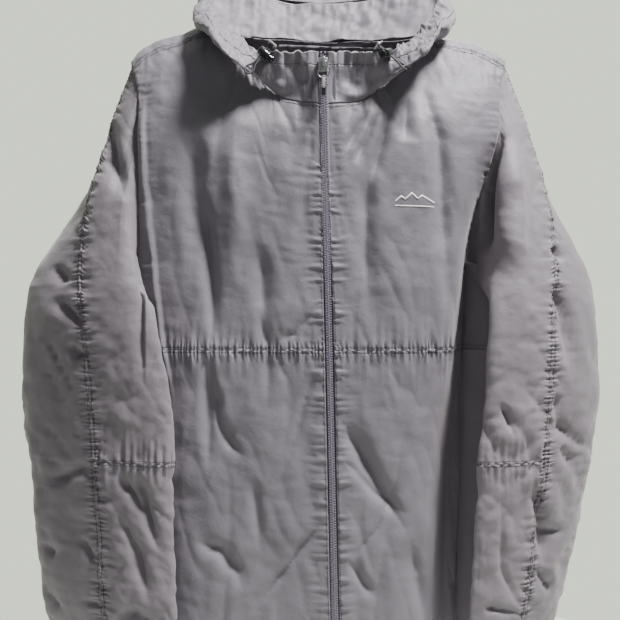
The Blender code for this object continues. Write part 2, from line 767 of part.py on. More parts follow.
def lock_frame(side):
    """Axes of a lock: X along the cord away from the rim, Z along the button's stroke."""
    along = Vector(LOCKS[side]["cord"]).normalized()
    stroke = Vector(LOCKS[side]["button"])
    stroke = (stroke - along * stroke.dot(along)).normalized()
    across = stroke.cross(along)
    frame = Matrix((along, across, stroke)).transposed().to_4x4()
    frame.translation = Vector(LOCKS[side]["exit"])
    return frame


def cord_route():
    """The elastic cord in its lock's frame: out along one strand, round a loop and back along the other."""
    out = [
        (0.0000, STRAND_OFFSET),
        (STRAND_LENGTH * 0.5, STRAND_OFFSET),
        (STRAND_LENGTH, STRAND_OFFSET),
        (STRAND_LENGTH + 0.0050, 0.0024),
        (STRAND_LENGTH + 0.0095, 0.0045),
        (STRAND_LENGTH + 0.0140, 0.0036),
        (STRAND_LENGTH + 0.0160, 0.0000),
    ]
    loop = out + [(a, -b) for a, b in out[-2::-1]]
    return smooth_curve([(a, 0.0, b) for a, b in loop], 32)


def cord_lock(side):
    frame = lock_frame(side)
    centre = frame @ Matrix.Translation((LOCK_DISTANCE, 0.0, 0.0))
    body = add_object(
        f"lock_{side}", cylinder_mesh("barrel", LOCK_RADIUS, LOCK_LENGTH, 18, 0.0008), "plastic", centre
    )
    mouth = LOCK_LENGTH / 2
    depth = 0.0105
    well = cylinder_mesh("well", PLUNGER_RADIUS + 0.0004, depth, 16)
    cut(body, well, Matrix.Translation((0.0, 0.0, mouth - depth / 2 + 0.0005)))
    bore_height = 2 * (STRAND_OFFSET + CORD_RADIUS) + 0.0008
    cut(body, box_mesh("bore", (0.014, 0.0030, bore_height)), Matrix.Identity(4))

    cap_height, rest_gap = 0.0026, PLUNGER_TRAVEL + 0.0004
    stem_length = depth - 0.0005
    stem_top = mouth + rest_gap + cap_height / 2
    stem_foot = stem_top - stem_length
    button = add_object(
        f"lock_button_{side}",
        cylinder_mesh("cap", LOCK_RADIUS - 0.0006, cap_height, 16, 0.0006),
        "plastic",
        centre,
    )
    for corner in button.data.vertices:
        corner.co.z += stem_top
    stem = cylinder_mesh("stem", PLUNGER_RADIUS, stem_length, 12)
    cut(button, stem, Matrix.Translation((0.0, 0.0, (stem_top + stem_foot) / 2)), "UNION")
    slot_height = bore_height + PLUNGER_TRAVEL + 0.0002
    slot = box_mesh("slot", (0.012, 0.0030, slot_height))
    cut(button, slot, Matrix.Translation((0.0, 0.0, PLUNGER_TRAVEL / 2)))

    route = [frame @ point for point in cord_route()]
    wire(f"cord_{side}", route, CORD_RADIUS, "cord")

    patch = add_object(
        f"cord_patch_{side}",
        box_mesh("patch", (0.0010, 0.0090, 0.0110), 0.0003),
        "patch",
        frame @ Matrix.Translation((-0.0002, 0.0, 0.0)),
        False,
    )
    hole = box_mesh("hole", (0.010, 0.0032, bore_height))
    cut(patch, hole, Matrix.Identity(4))


def build():
    clear_scene()
    for side in SIDES:
        front_panels(side)
        sleeve(side)
        cord_lock(side)
    back_panels()
    collar()
    hood()
    chain_and_tapes()
    slider()
    puller_and_tab()


build()
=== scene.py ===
"""Looks for the hooded wind jacket: gathered and folded cloth, stitching, zip, cord locks, light and camera.

Metres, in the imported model's frame: +Z up, +X to the right seen from the front, and the front faces -Y.
The body's surface is described by q, how far round from the middle (0) to the side (1, negative on the
left), and w, how far below the shoulder ridge (negative on the front). A sheet of cloth is a grid of points.
Its folds come from a short simulation: the sheet has more cloth than room, most of all beside its seams, so
it buckles.
"""

import math

import bmesh
import bpy
import numpy as np
from mathutils import Matrix, Vector
from mathutils.bvhtree import BVHTree

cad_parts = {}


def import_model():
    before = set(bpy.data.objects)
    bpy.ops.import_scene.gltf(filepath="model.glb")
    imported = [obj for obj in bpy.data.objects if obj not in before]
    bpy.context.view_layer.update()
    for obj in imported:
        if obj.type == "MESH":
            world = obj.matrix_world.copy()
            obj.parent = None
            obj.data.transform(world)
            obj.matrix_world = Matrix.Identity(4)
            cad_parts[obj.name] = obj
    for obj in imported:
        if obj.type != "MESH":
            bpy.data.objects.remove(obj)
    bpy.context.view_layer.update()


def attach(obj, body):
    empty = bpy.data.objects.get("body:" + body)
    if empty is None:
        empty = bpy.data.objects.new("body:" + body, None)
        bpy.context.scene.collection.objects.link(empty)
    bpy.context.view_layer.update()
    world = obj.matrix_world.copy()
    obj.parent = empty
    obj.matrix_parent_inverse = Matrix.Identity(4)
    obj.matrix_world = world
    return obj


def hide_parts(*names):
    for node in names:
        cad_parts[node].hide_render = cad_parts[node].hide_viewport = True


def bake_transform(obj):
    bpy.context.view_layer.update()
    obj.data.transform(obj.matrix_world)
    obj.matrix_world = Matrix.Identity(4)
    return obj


SIDES = {"left": -1, "right": 1}

# The body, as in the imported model
FRONT_DEPTH, BACK_DEPTH = 0.064, 0.056
SQUARENESS = 2.6
# Heights and half widths
BODY_WIDTHS = ((-0.038, 0.240), (-0.277, 0.221), (-0.420, 0.216), (-0.725, 0.208))
SIDE_SCALE = {"left": 1.0, "right": 0.965}
# The shoulder ridge: its height in the middle, its drop at the tip and the power of its curve
RIDGE = {"left": (0.006, 0.043, 3.6), "right": (0.004, 0.0385, 2.1)}
TIP_Q = 0.732  # the tip of the shoulder
SEAM_Q = 0.722  # where the forward seam ends at the armhole
FORWARD_SEAM = 0.014  # how far below the ridge the forward seam runs
CHEST_SEAM_Z, YOKE_SEAM_Z, HEM_SEAM_Z, HEM_Z = -0.366, -0.150, -0.700, -0.7265
# Half of the neckline as (q, w), from the front to the back
NECKLINE = (
    (0.000, -0.105),
    (0.087, -0.099),
    (0.142, -0.089),
    (0.241, -0.048),
    (0.292, -0.024),
    (0.304, -FORWARD_SEAM),
    (0.310, 0.000),
    (0.285, 0.006),
    (0.195, 0.011),
    (0.000, 0.014),
)
NECK_CORNER = 5  # where the forward seam starts
# The armhole as (q, z), from the shoulder down to the side
ARMHOLE = (
    (0.690, -0.065),
    (0.681, -0.100),
    (0.683, -0.150),
    (0.717, -0.215),
    (0.803, -0.262),
    (1.000, -0.277),
)
ARMHOLE_YOKE = 4  # where the yoke's seam meets it, counted with the two points above it
ARMHOLE_CORNER = 3  # where it turns in under the arm

# Metres for one unit of q and w, used where the edges of the armhole and the neck are divided
HOLE_SCALE, NECK_SCALE = (0.2, 1.0), (0.3, 1.0)

# The zip
ZIP_TOP = Vector((0.0, -0.064, -0.042))
ZIP_LEAN = 0.0213  # metres to the right for each metre down
ZIP_ANGLE = math.atan(ZIP_LEAN)
CHAIN_TOP_Z, CHAIN_BOTTOM_Z = -0.0455, -0.7155
CHAIN_LENGTH = CHAIN_TOP_Z - CHAIN_BOTTOM_Z
FLY_HALF = 0.0049  # from the zip's middle to the edge of the cloth
SLIDER_Z = -0.057
WIRE_RADIUS = 0.0007
PULL_Y = -0.0730
PULLER_AXIS_Z, TAB_AXIS_Z = -0.0545, -0.0720
TOOTH_PITCH = 0.0027
# Half of the puller's loop, from its axis
PULLER_HALF = (
    *((0.0000, 0.0000), (0.0026, 0.0000), (0.0034, -0.0010), (0.0036, -0.0050), (0.0040, -0.0085)),
    *((0.0056, -0.0112), (0.0058, -0.0140), (0.0044, -0.0164), (0.0022, -0.0174), (0.0000, -0.0176)),
)

# Sleeves: height, inner edge x and y, outer edge x and y
SLEEVE_RINGS = {
    "left": (
        (-0.330, 0.180, -0.078, 0.341, 0.004),
        (-0.423, 0.162, -0.080, 0.346, 0.006),
        (-0.534, 0.159, -0.080, 0.332, 0.004),
        (-0.646, 0.158, -0.078, 0.322, 0.004),
        (-0.700, 0.168, -0.072, 0.304, -0.002),
        (-0.730, 0.184, -0.066, 0.290, -0.010),
    ),
    "right": (
        (-0.330, 0.180, -0.078, 0.312, 0.004),
        (-0.423, 0.171, -0.080, 0.317, 0.006),
        (-0.534, 0.163, -0.080, 0.301, 0.004),
        (-0.646, 0.156, -0.078, 0.274, 0.002),
        (-0.700, 0.160, -0.072, 0.262, -0.004),
        (-0.730, 0.170, -0.066, 0.254, -0.010),
    ),
}
SLEEVE_FRONT_HALF, SLEEVE_BACK_HALF = 0.024, 0.016
# Where on the first ring each eighth of the armhole's way round ends up, in degrees
SLEEVE_TWIST = {
    "left": (97, 122, 150, 175, 215, 262, 315, 380, 457),
    "right": (97, 124, 156, 194, 232, 272, 320, 380, 457),
}
SLEEVE_TOP_Z, ELBOW_SEAM_Z = -0.330, -0.486
SLEEVE_TUCK = 0.0014  # how far the sleeve's edge lies behind the body's cloth
JOINT_ROWS = 14  # rows smoothed on each side of the first ring
LIFT_ENDS_Z = -0.620  # where a sleeve's weights reach their full value

# Collar rim and the crest that the hood folds over: half of each, from the front to the back
CREST = (
    (0.007, -0.064, -0.042),
    (0.036, -0.064, -0.042),
    (0.068, -0.058, -0.040),
    (0.092, -0.036, -0.022),
    (0.114, -0.014, 0.010),
    (0.127, 0.004, 0.036),
    (0.131, 0.022, 0.060),
    (0.112, 0.036, 0.066),
    (0.066, 0.042, 0.050),
    (0.000, 0.044, 0.042),
)
CREST_SIDE = 6  # where the neck stand ends and the nape starts
# How far the collar swells below each of the crest's points
COLLAR_BULGE = (0.000, -0.002, 0.010, 0.044, 0.056, 0.038, 0.017, 0.008, 0.003, 0.000)
CREST_SCALE = {"left": 1.0, "right": 1.06}
TUNNEL_SHARE = 0.26  # of the collar's height
NECK_Y, HOOD_MIDDLE_Y = 0.01, 0.105  # the middle of the neck and of the hood's fall
HOOD_HINGE_GAP = 0.0025
# Where the brim starts down the hood's fall, and where the seams run across it
HOOD_BRIM_SHARE, HOOD_SEAM_SHARES = 11 / 13, (6 / 16, 10 / 16)

# Cord locks
LOCK_RADIUS, LOCK_LENGTH = 0.0048, 0.013
CORD_RADIUS = 0.0010
STRAND_OFFSET = 0.0013  # from the lock's middle to each strand
STRAND_LENGTH = 0.0275
# The cord's bend behind the lock, from the end of the straight strands: distance along and aside
CORD_BEND = ((0.0050, 0.0024), (0.0095, 0.0045), (0.0140, 0.0036), (0.0160, 0.0000))
LOCKS = {
    "left": {
        "exit": (-0.0550, -0.0650, -0.0345),
        "cord": (-0.63, -0.20, -0.75),
        "button": (0.76, 0.0, -0.65),
    },
    "right": {
        "exit": (0.0600, -0.0650, -0.0355),
        "cord": (0.72, -0.20, -0.66),
        "button": (-0.35, -0.80, -0.48),
    },
}
LOCK_DISTANCE = 0.0135

# The mark on the chest: lines of (x, z) and their widths
MARK_PLACE = (0.100, -0.2, -0.2035)
MARK_LINES = (
    (
        ((-0.0215, -0.0005), (-0.0150, 0.0050), (-0.0105, 0.0018), (-0.0035, 0.0085))
        + ((0.0030, 0.0022), (0.0075, 0.0058), (0.0215, -0.0020)),
        0.0018,
    ),
    (((-0.0215, -0.0052), (0.0215, -0.0064)), 0.0013),
)

# Materials: two colours of each cloth; then name, colour, roughness, metal, and scale and depth of the grain
CLOTH_COLOURS = {
    "shell": ((0.170, 0.156, 0.184), (0.196, 0.180, 0.210)),
    "sleeve": ((0.182, 0.163, 0.188), (0.208, 0.188, 0.212)),
}
CLOTH_SHEEN = {
    "Sheen_Weight": 0.25,
    "Sheen_Roughness": 0.45,
    "Sheen_Tint": (0.95, 0.88, 0.92, 1.0),
    "Specular_IOR_Level": 0.42,
}
CRINKLE = {"Scale": 130.0, "Detail": 6.0, "Roughness": 0.62, "Distortion": 0.6}
DRIFT = {"Scale": 9.0, "Detail": 5.0, "Roughness": 0.6}
WEAVE = {"Scale": 360.0, "Distortion": 0.6}
WEAVE_SHARE = 0.08  # of the weave in the bumps, beside the crinkles
CLOTH_BUMP = (0.5, 0.0012)  # strength and height
GRAIN_DEPTH, GRAIN_SPREAD = 0.0002, 0.25
FINISHES = {
    # The thread's own colour is the cloth's mauve, darkened a good deal as painted shade of the puckered
    # stitch holes along the seams.
    "thread": ("thread", (0.060, 0.054, 0.068), 0.8, 0.0, 2500.0, 0.2),
    "tape": ("zip_tape", (0.085, 0.078, 0.100), 0.85, 0.0, 1800.0, 0.6),
    "teeth": ("zip_teeth", (0.150, 0.138, 0.178), 0.38, 0.0, 900.0, 0.2),
    "metal": ("satin_metal", (0.50, 0.50, 0.52), 0.30, 1.0, 1500.0, 0.1),
    "plastic": ("black_plastic", (0.012, 0.013, 0.015), 0.16, 0.0, 600.0, 0.05),
    "cord": ("elastic_cord", (0.050, 0.048, 0.055), 0.75, 0.0, 1600.0, 0.8),
    "pull": ("pull_cord", (0.300, 0.290, 0.305), 0.55, 0.0, 1400.0, 0.7),
    "patch": ("patch", (0.640, 0.580, 0.560), 0.6, 0.0, 1200.0, 0.5),
    "print": ("printed_mark", (0.800, 0.800, 0.800), 0.55, 0.0, 1500.0, 0.2),
    "floor": ("floor", (0.620, 0.630, 0.590), 0.7, 0.0, 30.0, 0.05),
}

# Camera and lights: place, size of the square, power and colour
CAMERA_PLACE, VIEW_SLOPE = (-0.014, -1.1, -0.322), 0.3565 / 1.1
LIGHTS_AIM = (0.0, 0.0, -0.30)
LIGHTS = {
    "key": ((0.86, -0.68, 1.72), 0.45, 172.0, (1.0, 0.99, 0.97)),
    "back": ((0.5, 1.6, 1.0), 1.0, 30.0, (1.0, 1.0, 1.0)),
}
FLOOR_PLACE, FLOOR_RADIUS = (0.0, 0.1, -0.95), 0.9
# The sky, from behind the camera (0) to behind the jacket (1)
BACKDROP = ((0.40, (0.22, 0.225, 0.222)), (0.86, (1.14, 1.22, 1.01)))

# Edges sharper than this many degrees stay sharp
BOX_SHARP, TURNED_SHARP = 38, 32

# Cloth
LAYER, HEM_LAYER, TUNNEL_LAYER = 0.0007, 0.0014, 0.0026
# Links of the cloth: steps down and across, and strength
LINKS = ((0, 1, 0.9), (1, 0, 0.9), (1, 1, 0.2), (1, -1, 0.2), (0, 2, 0.05), (2, 0, 0.05))
STITCH_PITCH, STITCH_LENGTH, THREAD = 0.0030, 0.0024, 0.00055
# The corners of each side of a stitch, which is a small box
BOX_SIDES = ((0, 1, 3, 2), (4, 6, 7, 5), (0, 4, 5, 1), (2, 3, 7, 6), (0, 2, 6, 4), (1, 5, 7, 3))
SEAM_HALF = 0.0030  # from a seam to each of its two rows of stitches
FLY_STITCH, HEM_STITCH = 0.0022, 0.0024  # from an edge to its single row

CLOTH_STEP = 0.0024  # between the points of the front panels

# Gathers: the edge, how much more cloth there is beside it, and over what distance
UPPER_GATHERS = (
    ("left", 0.11, 0.008),
    ("bottom", 0.12, 0.012),
    ("top", 0.06, 0.020),
    ("right", 0.04, 0.012),
)
LOWER_GATHERS = (("left", 0.12, 0.008), ("top", 0.12, 0.014), ("bottom", 0.08, 0.014))
HEM_GATHERS = (("top", 0.06, 0.014),)

# Folds: a line of (x, z), its half width, its height (negative goes in) and how sharp its bottom is (0 to 1)
BODY_FOLDS = (
    (((-0.126, -0.367), (-0.126, -0.419), (-0.125, -0.506)), 0.007, -0.0060, 0.5),
    (((-0.072, -0.318), (-0.060, -0.361), (-0.060, -0.441)), 0.008, -0.0032, 0.5),
    (((-0.132, -0.190), (-0.126, -0.257), (-0.121, -0.311), (-0.121, -0.360)), 0.008, -0.0070, 0.4),
    (((-0.002, -0.311), (-0.031, -0.348), (-0.054, -0.356)), 0.004, -0.0016, 0.9),
    (((-0.003, -0.380), (-0.019, -0.419), (-0.041, -0.500)), 0.005, -0.0022, 0.7),
    (((0.001, -0.547), (-0.041, -0.604), (-0.081, -0.655)), 0.005, -0.0040, 0.9),
    (((0.014, -0.432), (0.051, -0.495), (0.096, -0.572)), 0.009, -0.0080, 0.6),
    (((0.096, -0.572), (0.118, -0.680)), 0.009, -0.0060, 0.5),
    (((-0.147, -0.090), (-0.141, -0.202), (-0.132, -0.300)), 0.014, -0.0060, 0.1),
    (((-0.066, -0.250), (-0.064, -0.345)), 0.009, -0.0050, 0.2),
    (((-0.098, -0.127), (-0.094, -0.203), (-0.098, -0.311)), 0.013, 0.0040, 0.0),
    (((0.050, -0.150), (0.046, -0.250), (0.050, -0.340)), 0.010, -0.0050, 0.2),
    (((0.111, -0.070), (0.128, -0.135), (0.133, -0.235), (0.140, -0.340)), 0.009, -0.0060, 0.3),
    (((-0.1225, -0.386), (-0.116, -0.4405), (-0.102, -0.468), (-0.082, -0.484)), 0.007, -0.0050, 0.5),
    (((-0.141, -0.575), (-0.112, -0.583), (-0.094, -0.605), (-0.088, -0.632)), 0.009, -0.0060, 0.4),
    (((-0.075, -0.500), (-0.068, -0.590)), 0.007, -0.0040, 0.3),
    (((0.024, -0.150), (0.052, -0.100)), 0.004, -0.0035, 0.6),
    (((0.034, -0.165), (0.064, -0.098)), 0.004, -0.0035, 0.6),
    (((0.052, -0.185), (0.078, -0.094)), 0.006, -0.0045, 0.5),
    (((0.090, -0.140), (0.096, -0.080)), 0.007, -0.0050, 0.3),
    (((0.024, -0.590), (0.060, -0.640)), 0.006, -0.0040, 0.4),
    (((0.020, -0.480), (0.055, -0.520), (0.098, -0.548)), 0.005, -0.0025, 0.7),
    (((0.026, -0.600), (0.058, -0.560), (0.085, -0.500)), 0.004, -0.0022, 0.9),
)
# Broad hollows under the collar, beside the zip
NECK_HOLLOWS = (
    (((-0.038, -0.085), (-0.080, -0.078), (-0.115, -0.080)), 0.034, -0.010),
    (((0.040, -0.080), (0.080, -0.068), (0.110, -0.066)), 0.030, -0.009),
)
# The right side of the body hangs back behind the sleeve
RIGHT_HOLLOW = (
    ((0.205, -0.150), (0.192, -0.270), (0.176, -0.380), (0.160, -0.480), (0.152, -0.730)),
    0.030,
    -0.050,
)
SLEEVE_FOLDS = {
    "left": (
        (((-0.297, -0.307), (-0.275, -0.327), (-0.260, -0.344)), 0.006, -0.0070, 0.7),
        (((-0.280, -0.355), (-0.269, -0.371), (-0.253, -0.371)), 0.005, -0.0050, 0.6),
        (((-0.304, -0.269), (-0.290, -0.284), (-0.285, -0.295)), 0.006, -0.0050, 0.5),
        (((-0.318, -0.340), (-0.290, -0.385), (-0.266, -0.420)), 0.004, -0.0030, 0.9),
        (((-0.310, -0.385), (-0.282, -0.430)), 0.004, -0.0030, 0.9),
        (((-0.222, -0.500), (-0.205, -0.520), (-0.190, -0.545)), 0.005, -0.0060, 0.8),
        (((-0.201, -0.490), (-0.190, -0.530), (-0.176, -0.580)), 0.006, -0.0070, 0.6),
        (((-0.221, -0.540), (-0.200, -0.580), (-0.186, -0.635)), 0.006, -0.0070, 0.7),
        (((-0.214, -0.640), (-0.178, -0.670)), 0.009, -0.0080, 0.4),
        (((-0.310, -0.520), (-0.276, -0.500), (-0.248, -0.490)), 0.008, -0.0055, 0.4),
        (((-0.266, -0.570), (-0.250, -0.600)), 0.005, -0.0050, 0.7),
        (((-0.262, -0.640), (-0.240, -0.645)), 0.004, -0.0035, 0.8),
        (((-0.320, -0.585), (-0.300, -0.600)), 0.006, -0.0060, 0.7),
        (((-0.318, -0.640), (-0.292, -0.660)), 0.005, -0.0050, 0.8),
        (((-0.248, -0.105), (-0.238, -0.150), (-0.214, -0.205)), 0.010, -0.0080, 0.3),
    ),
    "right": (
        (((0.192, -0.090), (0.189, -0.150), (0.185, -0.220), (0.182, -0.262)), 0.007, -0.0280, 0.0),
        (((0.206, -0.130), (0.205, -0.190), (0.204, -0.250), (0.200, -0.290)), 0.014, 0.0100, 0.0),
        (((0.252, -0.290), (0.268, -0.330), (0.276, -0.400)), 0.008, -0.0080, 0.5),
        (((0.255, -0.250), (0.268, -0.270)), 0.005, -0.0045, 0.7),
        (((0.252, -0.400), (0.262, -0.450), (0.300, -0.480)), 0.006, -0.0050, 0.6),
        (((0.190, -0.420), (0.205, -0.460)), 0.004, -0.0045, 0.9),
        (((0.226, -0.500), (0.240, -0.560), (0.246, -0.620)), 0.007, -0.0070, 0.6),
        (((0.232, -0.560), (0.270, -0.570)), 0.005, -0.0050, 0.6),
        (((0.232, -0.600), (0.258, -0.640)), 0.006, -0.0060, 0.8),
        (((0.170, -0.640), (0.215, -0.650)), 0.005, -0.0055, 0.8),
        (((0.190, -0.520), (0.192, -0.600), (0.222, -0.660)), 0.005, -0.0035, 0.7),
        (((0.262, -0.470), (0.280, -0.500)), 0.006, -0.0050, 0.6),
    ),
}
# Pleats: the cloth goes in over the width towards the line from its left and steps out again at the line
BODY_PLEATS = (
    (
        ((-0.199, -0.080), (-0.194, -0.181), (-0.187, -0.246), (-0.176, -0.344), (-0.163, -0.430)),
        0.014,
        0.0055,
    ),
)
SLEEVE_PLEATS = {
    "left": ((((-0.200, -0.090), (-0.193, -0.205), (-0.191, -0.300), (-0.190, -0.410)), 0.009, -0.0080),),
    "right": (),
}


# Small tools


def ease(value):
    value = np.clip(value, 0.0, 1.0)
    return value * value * (3 - 2 * value)


def unit(vectors):
    return vectors / np.maximum(np.linalg.norm(vectors, axis=-1, keepdims=True), 1e-12)


def even(count):
    return np.linspace(0.0, 1.0, count + 1)


def near(distance, reach):
    """1 at a seam, fading with the distance from it."""
    return np.exp(-distance / reach)


def graded(length, step, fine_start=True, fine_end=True):
    """Fractions of a length with small steps beside the ends that are sewn."""
    places, place = [0.0], 0.0
    while place < length:
        reach = min(
            place if fine_start else length,
            length - place if fine_end else length,
        )
        place += step * (0.36 + 0.64 * float(ease(reach / 0.016)))
        places.append(place)
    return np.array(places) / places[-1]


def lengths_along(path):
    """The distance along a path of points to each of them."""
    return np.concatenate(([0.0], np.cumsum(np.linalg.norm(np.diff(path, axis=0), axis=1))))


def sampled(path, along, places):
    """Values of a path's columns at places between the distances along it."""
    return np.stack([np.interp(places, along, column) for column in path.T], axis=1)


def spread(path, shares, scale=None):
    """Points at the given shares of a path's length; scale sets how the axes compare."""
    size = np.ones(path.shape[1]) if scale is None else np.array(scale)
    along = lengths_along(path * size)
    return sampled(path, along, shares * along[-1])


def through(a, b, c, d, t):
    """A place between b and c on the smooth curve through four points."""
    return 0.5 * (2 * b + (c - a) * t + (2 * a - 5 * b + 4 * c - d) * t**2 + (3 * b - a - 3 * c + d) * t**3)


def curve(points, shares, first=0, last=None, scale=None):
    """Points on the smooth curve from points[first] to points[last]."""
    points = np.asarray(points, float)
    last = len(points) - 1 if last is None else last
    padded = np.vstack((points[:1], points, points[-1:]))
    t = np.linspace(0, 1, 24, endpoint=False)[:, None]
    pieces = [through(*padded[index : index + 4], t) for index in range(first, last)]
    return spread(np.vstack(pieces + [points[last : last + 1]]), shares, scale)


def random_at(cell, seed):
    """A fixed random number from -1 to 1 for each whole-number place."""
    mixed = np.full(cell.shape[:-1], seed * 2654435761 & 0xFFFFFFFF, dtype=np.uint64)
    for axis, prime in enumerate((73856093, 19349663, 83492791)):
        column = cell[..., axis].astype(np.int64).astype(np.uint64)
        mixed ^= (column * np.uint64(prime)) & np.uint64(0xFFFFFFFF)
        mixed = (mixed ^ (mixed >> np.uint64(15))) * np.uint64(2246822519) & np.uint64(0xFFFFFFFF)
    mixed ^= mixed >> np.uint64(13)
    return (mixed & np.uint64(0xFFFFFF)).astype(float) / 0x7FFFFF - 1.0


def noise(points, size, seed=1):
    """Smooth random heights from -1 to 1 that vary over the size, one number or one for each axis."""
    place = points / np.array(size) + 100.37 + 17.13 * seed
    cell = np.floor(place)
    t = place - cell
    t = t * t * (3 - 2 * t)
    total = np.zeros(points.shape[:-1])
    for corner in np.ndindex(2, 2, 2):
        weight = np.prod([t[..., k] if corner[k] else 1 - t[..., k] for k in range(3)], axis=0)
        total += weight * random_at(cell + np.array(corner), seed)
    return total


def uneven(points, *layers):
    """Several noises added up, each given as its height, size and seed."""
    return sum(height * noise(points, size, seed) for height, size, seed in layers)


def creases(points, *layers):
    """Heights with sharp valleys that wander, each layer given as depth, size, seed and tilt in degrees."""
    total = 0.0
    for depth, size, seed, tilt in layers:
        sine, cosine = math.sin(math.radians(tilt)), math.cos(math.radians(tilt))
        x, y, z = points[..., 0], points[..., 1], points[..., 2]
        tilted = np.stack((x * cosine - z * sine, y, x * sine + z * cosine), -1)
        size = np.array(size)
        bent = tilted + 0.25 * size * noise(points, size * 0.8, seed + 50)[..., None]
        total = total + depth * (np.abs(noise(bent, size, seed)) - 0.35)
    return total


def line_distance(points, line):
    """Each point's distance from a line of (x, z) points, the side it lies on and how far along it is."""
    flat = points[..., (0, 2)]
    best = np.full(flat.shape[:-1], 1e9)
    side, place = np.ones(flat.shape[:-1]), np.zeros(flat.shape[:-1])
    count = len(line) - 1
    for index in range(count):
        start, along = np.array(line[index]), np.array(line[index + 1]) - np.array(line[index])
        share = np.clip(((flat - start) @ along) / (along @ along), 0.0, 1.0)
        offset = flat - start - share[..., None] * along
        distance = np.linalg.norm(offset, axis=-1)
        nearer = distance < best
        best = np.where(nearer, distance, best)
        side = np.where(nearer, np.where(offset[..., 0] < 0, -1.0, 1.0), side)
        place = np.where(nearer, (index + share) / count, place)
    return best, side, place


def fold_height(points, folds):
    """Folds along lines, deepest in their middle and gone at their ends."""
    height = np.zeros(points.shape[:-1])
    wander = 0.0012 * noise(points, 0.018, 7)
    for line, width, tall, sharp in folds:
        distance, _, place = line_distance(points, line)
        distance = np.abs(distance + wander)
        tall = tall * 1.45 * ease(place / 0.35 + 0.08) * ease((1 - place) / 0.45 + 0.04)
        round_shape = np.exp(-((distance / width) ** 2))
        sharp_shape = np.exp(-distance / (0.7 * width))
        height += tall * (round_shape * (1 - sharp) + sharp_shape * sharp)
    return height


def pleat_height(points, pleats):
    """Pleats: the cloth goes in slowly on the left of a line and steps out again at the line."""
    height = np.zeros(points.shape[:-1])
    for line, width, tall in pleats:
        distance, side, _ = line_distance(points, line)
        signed = distance * side
        inside = np.exp(np.clip(signed, None, 0) / width) * ease((0.002 - signed) / 0.0045)
        top, bottom = line[0][1], line[-1][1]
        ends = ease((top - points[..., 2]) / 0.05) * ease((points[..., 2] - bottom) / 0.07)
        height += tall * inside * ends
    return height


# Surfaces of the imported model


def ridge(q):
    """Height of the shoulder ridge."""
    values = []
    for side in SIDES:
        top, drop, power = RIDGE[side]
        values.append(top - drop * (np.abs(q) / TIP_Q) ** power)
    right = ease((np.asarray(q) + 0.08) / 0.16)
    return values[0] * (1 - right) + values[1] * right


def half_width(q, z):
    """Half of the body's width at the height z, on the side of q."""
    heights, widths = zip(*BODY_WIDTHS)
    width = np.interp(-z, -np.array(heights), widths)
    return width * np.where(q < 0, SIDE_SCALE["left"], SIDE_SCALE["right"])


def body_point(q, w, inset=0.0):
    """The body's surface at (q, w)."""
    q, w = np.asarray(q, float), np.asarray(w, float)
    z = ridge(q) - np.abs(w)
    across = np.sin(np.abs(q) * math.pi / 2)
    x = np.sign(q) * half_width(q, z) * across
    roll = np.clip(np.abs(w) / (0.100 + 0.070 * ease(np.abs(x) / 0.110)), 0.0, 1.0)
    depth = np.where(w < 0, FRONT_DEPTH, BACK_DEPTH) - inset
    rounding = np.maximum(0.0, 1 - across**SQUARENESS) ** (1 / SQUARENESS)
    y = np.sign(w) * depth * rounding * (roll * (2 - roll)) ** 0.75
    return np.stack((x, y, z), axis=-1)


def body_normal(q, w):
    step_q, step_w = 0.010, 0.004
    along_q = body_point(np.minimum(q + step_q, 1.0), w) - body_point(np.maximum(q - step_q, -1.0), w)
    along_w = body_point(q, w + step_w) - body_point(q, w - step_w)
    return unit(np.cross(along_q, along_w))


def q_at(x, z):
    """The q of the place at x on the body's surface at the height z."""
    sign = np.where(np.asarray(x) < 0, -1.0, 1.0)
    share = np.clip(np.abs(x) / half_width(sign, z), 0.0, 1.0)
    return sign * np.arcsin(share) / (math.pi / 2)


def depth_at(q, z, face):
    """The w of the height z on the front (face -1) or the back (1)."""
    return face * (ridge(np.asarray(q, float)) - z)


def zip_x(z):
    """The zip leans a little to one side."""
    return ZIP_TOP.x + (ZIP_TOP.z - z) * ZIP_LEAN


def fly_edge(sign, heights):
    """(q, w) along the edge of the cloth beside the zip."""
    q = q_at(zip_x(heights) + sign * FLY_HALF, heights)
    return np.stack((q, depth_at(q, heights, -1)), axis=1)


def armhole_points(sign, face):
    """The armhole from the tip of the shoulder down to the side of the body, on the front or the back."""
    points = [(sign * TIP_Q, 0.0), (sign * SEAM_Q, face * FORWARD_SEAM)]
    return points + [(sign * q, float(depth_at(sign * q, z, face))) for q, z in ARMHOLE]


def level(q, z, face):
    """(q, w) of places at the height z, on the front (face -1) or the back (1)."""
    return np.stack((q, depth_at(q, z, face)), axis=1)


def coons(top, bottom, inner, outer, across, down):
    """A grid of (q, w) between four edges; inner and outer run from top to bottom."""
    u, v = across[None, :, None], down[:, None, None]
    ruled = top[None] * (1 - v) + bottom[None] * v + inner[:, None] * (1 - u) + outer[:, None] * u
    corners = (top[0] * (1 - u) + top[-1] * u) * (1 - v) + (bottom[0] * (1 - u) + bottom[-1] * u) * v
    return ruled - corners


def grid_normal(points, ring=False):
    """The normal of a grid, its sign that of across x down."""
    if ring:
        across = np.roll(points, -1, axis=1) - np.roll(points, 1, axis=1)
    else:
        across = np.gradient(points, axis=1)
    return unit(np.cross(across, np.gradient(points, axis=0)))


# Cloth


